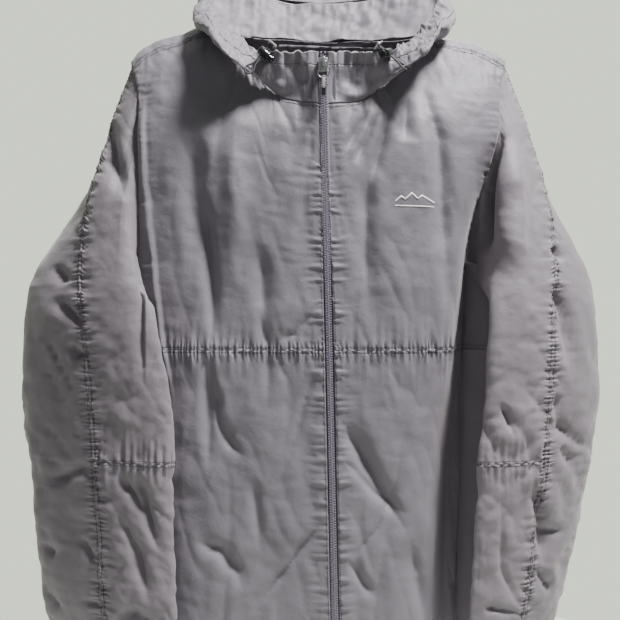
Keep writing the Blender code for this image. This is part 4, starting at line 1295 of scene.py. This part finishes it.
def sleeve_cloth(side, points, under, elbow):
    """The sleeve's cloth once settled, with its normals, cut and gathers."""
    rows, columns = points.shape[:2]
    normals = ring_normals(points)
    to_seam, to_under, from_top, to_elbow = sleeve_distances(points, under, elbow)
    on_front = (np.arange(columns) <= under)[None, :]
    down = 0.006 + 0.08 * near(to_seam, 0.010) + 0.03 * near(to_under, 0.012)
    across = 0.006 + 0.22 * near(to_elbow, 0.012) * on_front + 0.08 * near(from_top, 0.015)
    seed = uneven(points, (0.0012, 0.026, 23), (0.0005, 0.010, 24))
    seed += near(to_seam, 0.012) * uneven(points, (0.0008, (0.050, 0.060, 0.0050), 25))
    seed += near(to_seam, 0.020) * uneven(points, (0.0016, (0.040, 0.060, 0.012), 26))
    seed += near(to_elbow, 0.012) * on_front * uneven(points, (0.0024, (0.0045, 0.0060, 0.040), 27))
    seed += near(from_top, 0.015) * uneven(points, (0.0008, 0.005, 28))

    held = held_edges(rows, columns, ("top", "bottom", "left"))
    held[elbow, : under + 1] = True
    fade = ease(from_top / 0.025)
    shape = points + normals * (sleeve_lift(side, points, normals) * fade)[..., None]
    seed = np.where(held, 0.0, seed * ease((from_top - 0.03) / 0.05))
    extra = {"across": across, "down": down, "seed": seed}
    settled = settle(shape, normals, extra, held, 70, -0.010, 0.010, True)
    fine = creases(points, (0.0016, (0.011, 0.020, 0.026), 25, 30 * SIDES[side]))
    fine += creases(points, (0.0012, (0.022, 0.03, 0.011), 29, 12))
    free = crumpled(points) * fade * ~held * ease(to_elbow / 0.006)
    return settled + normals * (fine * free)[..., None], normals, shape, across, down


def sleeve(side, looks):
    share, upper = sleeve_shares(), even(96)
    heights = np.concatenate((
        SLEEVE_TOP_Z + (ELBOW_SEAM_Z - SLEEVE_TOP_Z) * graded(0.156, 0.0026, False, True)[1:],
        ELBOW_SEAM_Z + (HEM_SEAM_Z - ELBOW_SEAM_Z) * graded(0.214, 0.0026, True, True)[1:],
    ))
    points = sleeve_points(side, share, upper, heights)
    rows, columns = points.shape[:2]
    elbow = len(upper) + int(np.argmin(np.abs(heights - ELBOW_SEAM_Z)))
    under = int(np.argmin(np.abs(share - 0.5)))
    stop_row = len(upper) - 1 + int(np.argmin(np.abs(heights - LIFT_ENDS_Z)))
    weights = np.repeat(ease(np.arange(rows) / stop_row)[:, None], columns, axis=1)
    grids = (*sleeve_cloth(side, points, under, elbow), weights)
    parts = (
        ("front_upper", slice(0, elbow + 1), 0, under, "left", ("left", "bottom")),
        ("front_lower", slice(elbow, rows), 0, under, "left", ("left", "top")),
        ("back", slice(0, rows), under, columns, "right", ("right",)),
    )
    lines, body = [], f"sleeve_{side}"
    for name, used_rows, first, last, long_seam, stitched in parts:
        part = part_of(grids, used_rows, np.arange(first, last + 1) % columns)
        part.pucker(long_seam, times=3, height=0.0009)
        hang(f"sleeve_{side}_{name}", (part,), looks["sleeve"], towards=body)
        lines += [part.line(edge, SEAM_HALF) for edge in stitched]
    name = f"stitches_sleeve_{side}"
    stitching = add_piece(name, stitch_mesh(name, lines), looks["thread"])
    blend(stitching)
    cuff(side, looks)


def cuff(side, looks):
    share = np.linspace(0, 1, 120, endpoint=False)
    heights = HEM_SEAM_Z - 0.0005 - 0.0285 * graded(0.030, 0.0020, True, False)
    points = sleeve_points(side, share, np.array([1.0]), heights)[1:]
    gathers = (("top", 0.14, 0.020), ("bottom", 0.10, 0.020))
    cloth = settled_sheet(points, ring_normals(points), gathers, ring=True, reach=0.003)
    hang(f"cuff_{side}", (cloth,), looks["sleeve"], f"sleeve_{side}", thickness=HEM_LAYER)


# Collar and hood


def crest_points(sign):
    """The crest on one side, a little wider on the right."""
    scale = CREST_SCALE["left" if sign < 0 else "right"]
    return [(sign * x * scale, y, z) for x, y, z in CREST]


def collar_points(sign, first, last, along, levels):
    """The neck stand from the neck seam up to the crest, between two of the crest's points."""
    neck = curve([(sign * q, w) for q, w in NECKLINE], along, first, last, NECK_SCALE)
    foot = body_point(neck[:, 0], neck[:, 1])
    foot = foot + body_normal(neck[:, 0], neck[:, 1]) * shared_lift(foot)[:, None]
    rim = curve(crest_points(sign), along, first, last)
    if first == 0:
        foot[0] = (zip_x(foot[0, 2]) + sign * FLY_HALF, ZIP_TOP.y, foot[0, 2])
        rim[0] = (sign * FLY_HALF, ZIP_TOP.y, rim[0, 2])
    bulge = curve([(value, float(n)) for n, value in enumerate(COLLAR_BULGE)], along, first, last)[:, :1]
    outward = unit(np.stack((rim[:, 0], rim[:, 1] - NECK_Y, np.zeros(len(rim))), axis=1))
    forward = ease((0.020 - rim[:, 1:2]) / 0.030)
    outward = unit(outward * (1 - forward) + np.array((0.25 * sign, -1.0, 0.0)) * forward)
    outward = outward + np.array((0, 0, -0.30))
    share = levels[:, None, None]
    points = foot * (1 - share) + rim * share + outward * bulge * 4 * share * (1 - share)
    if first == 0:
        points[:, 0, 0] = zip_x(points[:, 0, 2]) + sign * FLY_HALF
        points[:, 0, 1] = ZIP_TOP.y
    return points


def outward_normals(points, away):
    normals = grid_normal(points)
    return normals * np.sign(np.sum(normals * away))


def neck_stand(side, looks, stitches):
    """One side's collar: a wall and above it the drawcord's tunnel with its ruffled rim."""
    sign, split = SIDES[side], 1 - TUNNEL_SHARE
    along, wall = graded(0.200, 0.0018, True, False), even(34)
    levels = np.concatenate((0.02 + (split - 0.02) * wall, split + TUNNEL_SHARE * even(14)[1:]))
    points = collar_points(sign, 0, CREST_SIDE, along, levels)
    normals = outward_normals(points, (points - (0.0, NECK_Y, 0.0)) * (1, 1, 0))
    height = levels[:, None]
    rim = near(1 - height, 0.25)
    ends = ease((np.abs(points[..., 0]) - 0.006) / 0.012)
    ruffle = uneven(points, (0.0026, (0.0065, 0.0075, 0.030), 31), (0.0016, (0.0032, 0.004, 0.02), 32))
    folds = uneven(points, (0.0040, (0.026, 0.030, 0.020), 33), (0.0016, 0.012, 34))
    shape = points + normals * ((ruffle * rim + folds * ease(height / 0.2)) * ends)[..., None]
    shape[..., 2] += uneven(points, (0.0016, (0.0045, 0.005, 0.05), 35)) * rim * ends
    across = 0.02 + 0.14 * rim * ends
    down = np.full(across.shape, 0.02)
    held = held_edges(*across.shape, ("top", "bottom", "left", "right"))
    seed = np.where(held, 0.0, uneven(points, (0.0010, (0.005, 0.005, 0.02), 36)) * rim)
    settled = settle(shape, normals, {"across": across, "down": down, "seed": seed}, held, 50, -0.006, 0.006)
    row = len(wall) - 1
    parts = (
        ("wall", slice(0, row + 1), f"collar_{side}", LAYER, ("left", FLY_STITCH)),
        ("tunnel", slice(row, None), f"collar_tunnel_{side}", TUNNEL_LAYER, ("top", 0.0010)),
    )
    for name, used, node, thickness, stitched in parts:
        sheet = part_of((settled, normals, shape, across, down), used)
        hang(node, (sheet,), looks["shell"], thickness=thickness, name=f"cloth_collar_{name}_{side}")
        stitches.append(sheet.line(*stitched))


def nape_points(sign):
    return collar_points(sign, CREST_SIDE, len(CREST) - 1, 1 - even(48), 0.03 + 0.97 * even(36))


def nape(looks):
    points = np.concatenate((nape_points(-1)[:, :0:-1], nape_points(1)), axis=1)
    normals = outward_normals(points, points - (0.0, NECK_Y, 0.0))
    folds = uneven(points, (0.0030, (0.030, 0.030, 0.016), 37), (0.0012, (0.012, 0.012, 0.008), 38))
    gathers = (("top", 0.05, 0.01), ("bottom", 0.08, 0.02))
    cloth = settled_sheet(points, normals, gathers, folds, rounds=50, reach=0.004)
    hang("collar_nape", (cloth,), looks["shell"])


def hood_profile(points):
    """The hood's fall from each point of the crest: down the nape, round and up to the brim."""
    reach = np.abs(points[:, 0]) / (CREST[CREST_SIDE][0] * 1.03)
    full = np.sqrt(np.maximum(0.0, 1 - np.minimum(reach, 0.985) ** 2))
    back, rest = full**0.7, 1 - full
    x, y, z = points.T
    steps = (
        (x, y, z),
        (x * 1.01, y + 0.018 * back, z + 0.010 * full),
        (x * 1.02, y + 0.036 * back, z - 0.016 * full),
        (x * 1.02, 0.022 + 0.058 * back, -0.085 * full + rest * (z - 0.012)),
        (x * 0.94, 0.022 + 0.066 * back, -0.180 * full + rest * (z - 0.022)),
        (x * 0.88, 0.024 + 0.092 * back, -0.226 * full + rest * (z - 0.026)),
        (x * 0.94, 0.026 + 0.114 * back, -0.170 * full + rest * (z - 0.018)),
        (x * 1.02, 0.027 + 0.118 * back, -0.085 * full + rest * (z - 0.006)),
        (x * 1.05, 0.028 + 0.104 * back, -0.020 * full + rest * z),
    )
    return np.stack([np.stack(step, axis=1) for step in steps], axis=1)


def hood(looks):
    crest = []
    for sign in SIDES.values():
        part = curve(crest_points(sign), even(56), CREST_SIDE, len(CREST) - 1)
        crest.append(part if sign < 0 else part[-2::-1])
    crest = np.vstack(crest) + (0.0, HOOD_HINGE_GAP * 0.6, HOOD_HINGE_GAP * 0.8)
    along = even(150)
    points = np.stack([curve(profile, along) for profile in hood_profile(crest)], axis=1)
    rows, columns = points.shape[:2]
    x, y, z = np.moveaxis(points, -1, 0)
    away = np.stack((x * 0, y - HOOD_MIDDLE_Y, -0.3 * (z + 0.1)), axis=-1)
    normals = outward_normals(points, away)
    calm = ease(np.linalg.norm(points - points[:1], axis=2) / 0.03)
    calm *= 0.3 + 0.7 * ease((1 - along) / 0.10)[:, None]
    lift = uneven(points, (0.0045, (0.040, 0.06, 0.040), 41))
    lift += creases(points, (0.0028, (0.022, 0.03, 0.030), 42, 20))
    shape = points + normals * (lift * calm)[..., None]
    brim_end = near(1 - along, 0.10)[:, None]
    across = np.repeat(0.015 + 0.07 * brim_end, columns, axis=1)
    down = np.full((rows, columns), 0.012)
    held = held_edges(rows, columns, ("top", "bottom", "left", "right"))
    seed = uneven(points, (0.0012, 0.012, 44)) + brim_end * uneven(points, (0.0014, (0.005, 0.02, 0.02), 45))
    extra = {"across": across, "down": down, "seed": np.where(held, 0.0, seed)}
    settled = settle(shape, normals, extra, held, 50, -0.008, 0.008)
    weights = np.repeat(ease(along / 0.30)[:, None], columns, axis=1)
    brim = round((rows - 1) * HOOD_BRIM_SHARE)
    marks = [round((columns - 1) * share) for share in (0.0, *HOOD_SEAM_SHARES, 1.0)]
    names = ("hood_side_left", "hood_crown", "hood_side_right")
    parts = [(name, slice(0, brim + 1), slice(a, b + 1)) for name, a, b in zip(names, marks, marks[1:])]
    parts.append(("hood_brim", slice(brim, None), slice(None)))
    for node, used_rows, used_columns in parts:
        sheet = part_of((settled, normals, shape, across, down, weights), used_rows, used_columns)
        thickness = HEM_LAYER if node == "hood_brim" else LAYER
        hang(node, (sheet,), looks["shell"], towards="hood", thickness=thickness)


# Zip and other solids


def zip_place(z, dx=0.0, y=ZIP_TOP.y):
    return Matrix.Translation((zip_x(z) + dx, y, z)) @ Matrix.Rotation(-ZIP_ANGLE, 4, "Y")


def block(work, size, centre=(0, 0, 0), bevel=0.0, segments=2):
    """Adds a box with rounded edges to a mesh being built."""
    made = bmesh.ops.create_cube(work, size=1.0)["verts"]
    bmesh.ops.scale(work, vec=size, verts=made)
    if bevel:
        edges = list({edge for corner in made for edge in corner.link_edges})
        settings = {"offset": bevel, "segments": segments, "affect": "EDGES", "profile": 0.5}
        result = bmesh.ops.bevel(work, geom=edges, **settings)
        corners = {corner for face in result["faces"] for corner in face.verts}
        made = list(corners | {corner for corner in made if corner.is_valid})
    bmesh.ops.translate(work, vec=centre, verts=made)


def finished_mesh(name, work, matrix=None):
    mesh = bpy.data.meshes.new(name)
    if matrix is not None:
        bmesh.ops.transform(work, matrix=matrix, verts=work.verts)
    work.to_mesh(mesh)
    work.free()
    mesh.shade_smooth()
    mesh.set_sharp_from_angle(angle=math.radians(BOX_SHARP))
    return mesh


def solid(name, blocks, place, kind, body, node=None):
    """A piece of rounded boxes, each with its size and maybe centre, bevel and number of bevel segments."""
    work = bmesh.new()
    for settings in blocks:
        block(work, *settings)
    return add_piece(name, finished_mesh(name, work, place), kind, body, node)


def teeth(sign):
    """The head and the root of each tooth; the two rows mesh, half a pitch apart."""
    blocks = []
    for number in range(int(CHAIN_LENGTH / TOOTH_PITCH)):
        place = zip_place(CHAIN_TOP_Z - (number + (0.25 if sign < 0 else 0.75)) * TOOTH_PITCH)
        blocks.append(((0.0026, 0.0026, 0.00125), place @ Vector((sign * 0.0002, 0.0, 0.0)), 0.0003, 1))
        blocks.append(((0.0024, 0.0022, 0.0019), place @ Vector((sign * 0.0023, 0.0, 0.0)), 0.0003, 1))
    return blocks


def zip_chain(looks):
    for side, sign in SIDES.items():
        solid(f"teeth_{side}", teeth(sign), None, looks["teeth"], "jacket", f"zip_teeth_{side}")
        tape = [((0.0088, 0.0007, CHAIN_LENGTH + 0.004),)]
        for offset in (0.0004, 0.0014):
            rib = (0.0005, 0.0011, CHAIN_LENGTH + 0.003)
            tape.append((rib, (sign * -0.0044 + sign * offset, 0, 0), 0.0002, 1))
        place = zip_place((CHAIN_TOP_Z + CHAIN_BOTTOM_Z) / 2, sign * 0.0084, ZIP_TOP.y + 0.0017)
        solid(f"tape_{side}", tape, place, looks["tape"], "jacket", f"zip_tape_{side}")
        stop = (((0.0026, 0.0030, 0.0030), (0, 0, 0), 0.0006, 2),)
        place = zip_place(CHAIN_TOP_Z + 0.0021, sign * 0.0022)
        solid(f"stop_{side}", stop, place, looks["teeth"], "jacket", f"zip_stop_{side}")
    box = (
        ((0.0092, 0.0034, 0.0088), (0, 0, 0), 0.0009, 3),
        ((0.0050, 0.0038, 0.0050), (0, 0, -0.0006), 0.0006, 2),
    )
    place = zip_place(CHAIN_BOTTOM_Z - 0.0049)
    solid("bottom_box", box, place, looks["teeth"], "jacket", "zip_box")


def zip_slider(looks):
    """Front and back plates with guides and a wedge between them, and the bridge that holds the puller."""
    length, front_y, back_y = 0.0150, -0.0040, 0.0036
    bridge_y, bridge_z = PULL_Y - ZIP_TOP.y, PULLER_AXIS_Z - SLIDER_Z
    blocks = [((0.0100, 0.0016, length), (0, front_y, 0), 0.0007, 3)]
    for sign in SIDES.values():
        blocks.append(((0.0011, 0.0034, length - 0.003), (sign * 0.0045, front_y + 0.0018, 0), 0.0004, 2))
    wedge = (0.0010, back_y - front_y + 0.0006, 0.0040)
    blocks.append((wedge, (0, (front_y + back_y) / 2, 0.0045), 0.0002, 1))
    blocks.append(((0.0092, 0.0012, length - 0.001), (0, back_y, 0), 0.0005, 2))
    for offset in (0.0034, -0.0042):
        blocks.append(((0.0030, 0.0056, 0.0018), (0, bridge_y + 0.0018, bridge_z + offset), 0.0005, 2))
    blocks.append(((0.0030, 0.0013, 0.0094), (0, bridge_y - 0.0016, bridge_z - 0.0004), 0.0006, 3))
    solid("slider", blocks, zip_place(SLIDER_Z), looks["metal"], "slider", "zip_slider")


def wire(name, points, radius, kind, body, node=None, cyclic=False, roundness=5):
    """A round wire or cord along points."""
    data = bpy.data.curves.new(name, "CURVE")
    data.dimensions = "3D"
    data.resolution_u = 1
    data.render_resolution_u = 0
    data.bevel_depth = radius
    data.bevel_resolution = roundness
    data.use_fill_caps = not cyclic
    spline = data.splines.new("POLY")
    spline.points.add(len(points) - 1)
    for place, point in zip(spline.points, points):
        place.co = (*point, 1.0)
    spline.use_cyclic_u = cyclic
    spline.use_smooth = True
    return add_piece(name, data, kind, body, node)


def puller_and_tab(looks):
    """The wire puller, and on it a flat cord with a ribbed grip at its end."""
    loop = np.array(PULLER_HALF + tuple((-a, b) for a, b in PULLER_HALF[-2:0:-1]) + PULLER_HALF[:1])
    x = zip_x(PULLER_AXIS_Z)
    points = [(x + a, PULL_Y, PULLER_AXIS_Z + b) for a, b in curve(loop, even(72))[:-1]]
    wire("puller", points, WIRE_RADIUS, looks["metal"], "puller", "zip_puller", cyclic=True)
    place = Matrix.Translation((zip_x(TAB_AXIS_Z), PULL_Y, TAB_AXIS_Z))
    cord = [((0.0034, 0.0009, 0.0120), (0, face * 0.0012, -0.0058), 0.0004, 2) for face in (-1, 1)]
    cord.append(((0.0034, 0.0030, 0.0012), (0, 0, 0.0014), 0.0004, 2))
    solid("pull_tab_cord", cord, place, looks["pull"], "pull_tab")
    grip = [((0.0036, 0.0028, 0.0030), (0, 0, -0.0102), 0.0005, 2)]
    grip.append(((0.0044, 0.0032, 0.0094), (0, 0, -0.0146), 0.0008, 3))
    grip += [((0.0047, 0.0035, 0.0007), (0, 0, -0.0118 - 0.0018 * rib), 0.0003, 1) for rib in range(4)]
    solid("pull_tab_grip", grip, place, looks["plastic"], "pull_tab", "zip_pull_tab")


# Cord locks


def lock_frame(side):
    """Axes of a lock: X along the cord away from the rim, Z along the button's stroke."""
    along = Vector(LOCKS[side]["cord"]).normalized()
    stroke = Vector(LOCKS[side]["button"])
    stroke = (stroke - along * stroke.dot(along)).normalized()
    frame = Matrix((along, stroke.cross(along), stroke)).transposed().to_4x4()
    frame.translation = Vector(LOCKS[side]["exit"])
    return frame


def cord_route():
    """The loop in the lock's axes: out through the lock, round behind it and back."""
    out = [(STRAND_LENGTH * share, STRAND_OFFSET) for share in (0.0, 0.5, 1.0)]
    out += [(STRAND_LENGTH + a, b) for a, b in CORD_BEND]
    loop = out + [(a, -b) for a, b in out[-2::-1]]
    return curve([(a, 0.0, b) for a, b in loop], even(96))


def turned(name, profile, matrix, segments=48):
    """A solid turned about Z from (radius, height) points, both ends on the axis."""
    corners, faces = [(0.0, 0.0, profile[0][1])], []
    rings = profile[1:-1]
    for radius, height in rings:
        for number in range(segments):
            angle = 2 * math.pi * number / segments
            corners.append((radius * math.cos(angle), radius * math.sin(angle), height))
    corners.append((0.0, 0.0, profile[-1][1]))
    last = len(corners) - 1
    for number in range(segments):
        following = (number + 1) % segments
        faces.append((0, 1 + following, 1 + number))
        for ring in range(len(rings) - 1):
            low, high = 1 + ring * segments, 1 + (ring + 1) * segments
            faces.append((low + number, low + following, high + following, high + number))
        top = 1 + (len(rings) - 1) * segments
        faces.append((top + number, top + following, last))
    mesh = new_mesh(name, [tuple(matrix @ Vector(corner)) for corner in corners], faces)
    mesh.set_sharp_from_angle(angle=math.radians(TURNED_SHARP))
    return mesh


def cord_lock(side, looks):
    frame = lock_frame(side)
    centre = frame @ Matrix.Translation((LOCK_DISTANCE, 0.0, 0.0))
    half, r = LOCK_LENGTH / 2, LOCK_RADIUS
    barrel = (
        *((0, -half), (r - 0.0012, -half), (r - 0.0004, -half + 0.0004), (r, -half + 0.0014)),
        *((r, half - 0.0034), (r - 0.0005, half - 0.0031), (r - 0.0005, half - 0.0026), (r, half - 0.0023)),
        *((r, half - 0.0008), (r - 0.0004, half - 0.0002), (r - 0.0009, half)),
        *((r - 0.0014, half - 0.0002), (r - 0.0014, half - 0.0041), (0, half - 0.0041)),
    )
    gap, top = half + 0.0034, half + 0.0060
    cap = (
        *((0, half - 0.0010), (0.0031, half - 0.0010), (0.0031, gap), (r - 0.0009, gap)),
        *((r - 0.0006, gap + 0.0004), (r - 0.0006, top - 0.0010), (r - 0.0011, top - 0.0003)),
        *((r - 0.0020, top), (0, top + 0.0001)),
    )
    solids = (("lock_barrel", barrel, "lock", "lock"), ("lock_cap", cap, "button", "lock_button"))
    for name, profile, body, node in solids:
        mesh = turned(f"{name}_{side}", profile, centre)
        add_piece(mesh.name, mesh, looks["plastic"], f"{body}_{side}", f"{node}_{side}")

    route = [frame @ Vector(point) for point in cord_route()]
    name, node = f"cord_loop_{side}", f"cord_{side}"
    item = wire(name, route, CORD_RADIUS, looks["cord"], "jacket", node)

    patch = (((0.0010, 0.0092, 0.0112), (-0.0002, 0, 0), 0.0004, 2),)
    solid(f"patch_{side}", patch, frame, looks["patch"], "jacket", f"cord_patch_{side}")
    turns = np.linspace(0, 2 * math.pi, 40, endpoint=False)
    ring = [frame @ Vector((0.0006, 0.0030 * math.cos(a), 0.0036 * math.sin(a))) for a in turns]
    wire(f"eyelet_{side}", ring, 0.0007, looks["metal"], "jacket", cyclic=True, roundness=4)


# Chest mark


def chest_mark(sheet, looks):
    """A plain ridge line over a bar, printed on the chest."""
    faces = quads(*sheet.points.shape[:2])
    tree = BVHTree.FromPolygons(sheet.points.reshape(-1, 3).tolist(), faces, all_triangles=False)
    corners, faces = [], []
    for line, width in MARK_LINES:
        path = curve_lines(line, 0.0006)
        run = unit(np.gradient(path, axis=0))
        side = np.stack((-run[:, 1], run[:, 0]), axis=1) * width / 2
        start = len(corners)
        for point in np.stack((path + side, path - side), axis=1).reshape(-1, 2):
            hit = tree.ray_cast(Vector(MARK_PLACE) + Vector((point[0], 0.0, point[1])), Vector((0, 1, 0)))
            corners.append(tuple(hit[0] - Vector((0.0, 0.00025, 0.0))))
        faces += [(n, n + 1, n + 3, n + 2) for n in range(start, len(corners) - 2, 2)]
    item = add_piece("chest_mark", new_mesh("chest_mark", corners, faces), looks["print"], "jacket")
    add_layer(item, 0.00012, 0)


def curve_lines(line, step):
    """Points a step apart along straight lines."""
    points = np.array(line)
    return spread(points, even(max(2, int(lengths_along(points)[-1] / step))))


# Surroundings


def camera():
    data = bpy.data.cameras.new("camera")
    data.sensor_fit = "HORIZONTAL"
    data.angle = 2 * math.atan(VIEW_SLOPE)
    item = new_object("camera", data)
    item.location = CAMERA_PLACE
    item.rotation_euler = (math.pi / 2, 0.0, 0.0)
    bpy.context.scene.camera = item


def area_light(name, place, size, power, colour):
    data = bpy.data.lights.new(name, "AREA")
    data.shape = "RECTANGLE"
    data.size = data.size_y = size
    data.energy = power
    data.color = colour
    item = new_object(name, data)
    item.location = place
    item.rotation_euler = (Vector(LIGHTS_AIM) - Vector(place)).to_track_quat("-Z", "Y").to_euler()


def surroundings(looks):
    """A sky that is pale behind the jacket and dimmer in front of it, two lights and a floor."""
    world = bpy.data.worlds.new("world")
    bpy.context.scene.world = world
    world.use_nodes = True
    tree = world.node_tree
    place = add_node(tree, "TexCoord").outputs
    split = add_node(tree, "SeparateXYZ", (place["Generated"], "Vector"))
    span = add_node(tree, "MapRange", (split.outputs["Y"], "Value"), From_Min=-1.0)
    band = colour_band(tree, span.outputs["Result"], *BACKDROP)
    band.color_ramp.interpolation = "EASE"
    tree.links.new(band.outputs["Color"], tree.nodes["Background"].inputs["Color"])
    for name, settings in LIGHTS.items():
        area_light(name, *settings)
    work = bmesh.new()
    bmesh.ops.create_circle(work, cap_ends=True, segments=96, radius=FLOOR_RADIUS)
    mesh = finished_mesh("floor", work, Matrix.Translation(FLOOR_PLACE))
    add_piece("floor", mesh, looks["floor"])


def main():
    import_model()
    camera()
    looks = make_materials()
    for side in SIDES:
        cord_lock(side, looks)
    zip_chain(looks)
    zip_slider(looks)
    puller_and_tab(looks)
    stitches = []
    fronts = {side: front_panels(side, looks, stitches) for side in SIDES}
    back_panels(looks, stitches)
    for side in SIDES:
        neck_stand(side, looks, stitches)
    nape(looks)
    add_piece("stitches_body", stitch_mesh("stitches_body", stitches), looks["thread"], "jacket")
    for side in SIDES:
        sleeve(side, looks)
    hood(looks)
    chest_mark(fronts["right"], looks)
    surroundings(looks)
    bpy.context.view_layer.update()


main()
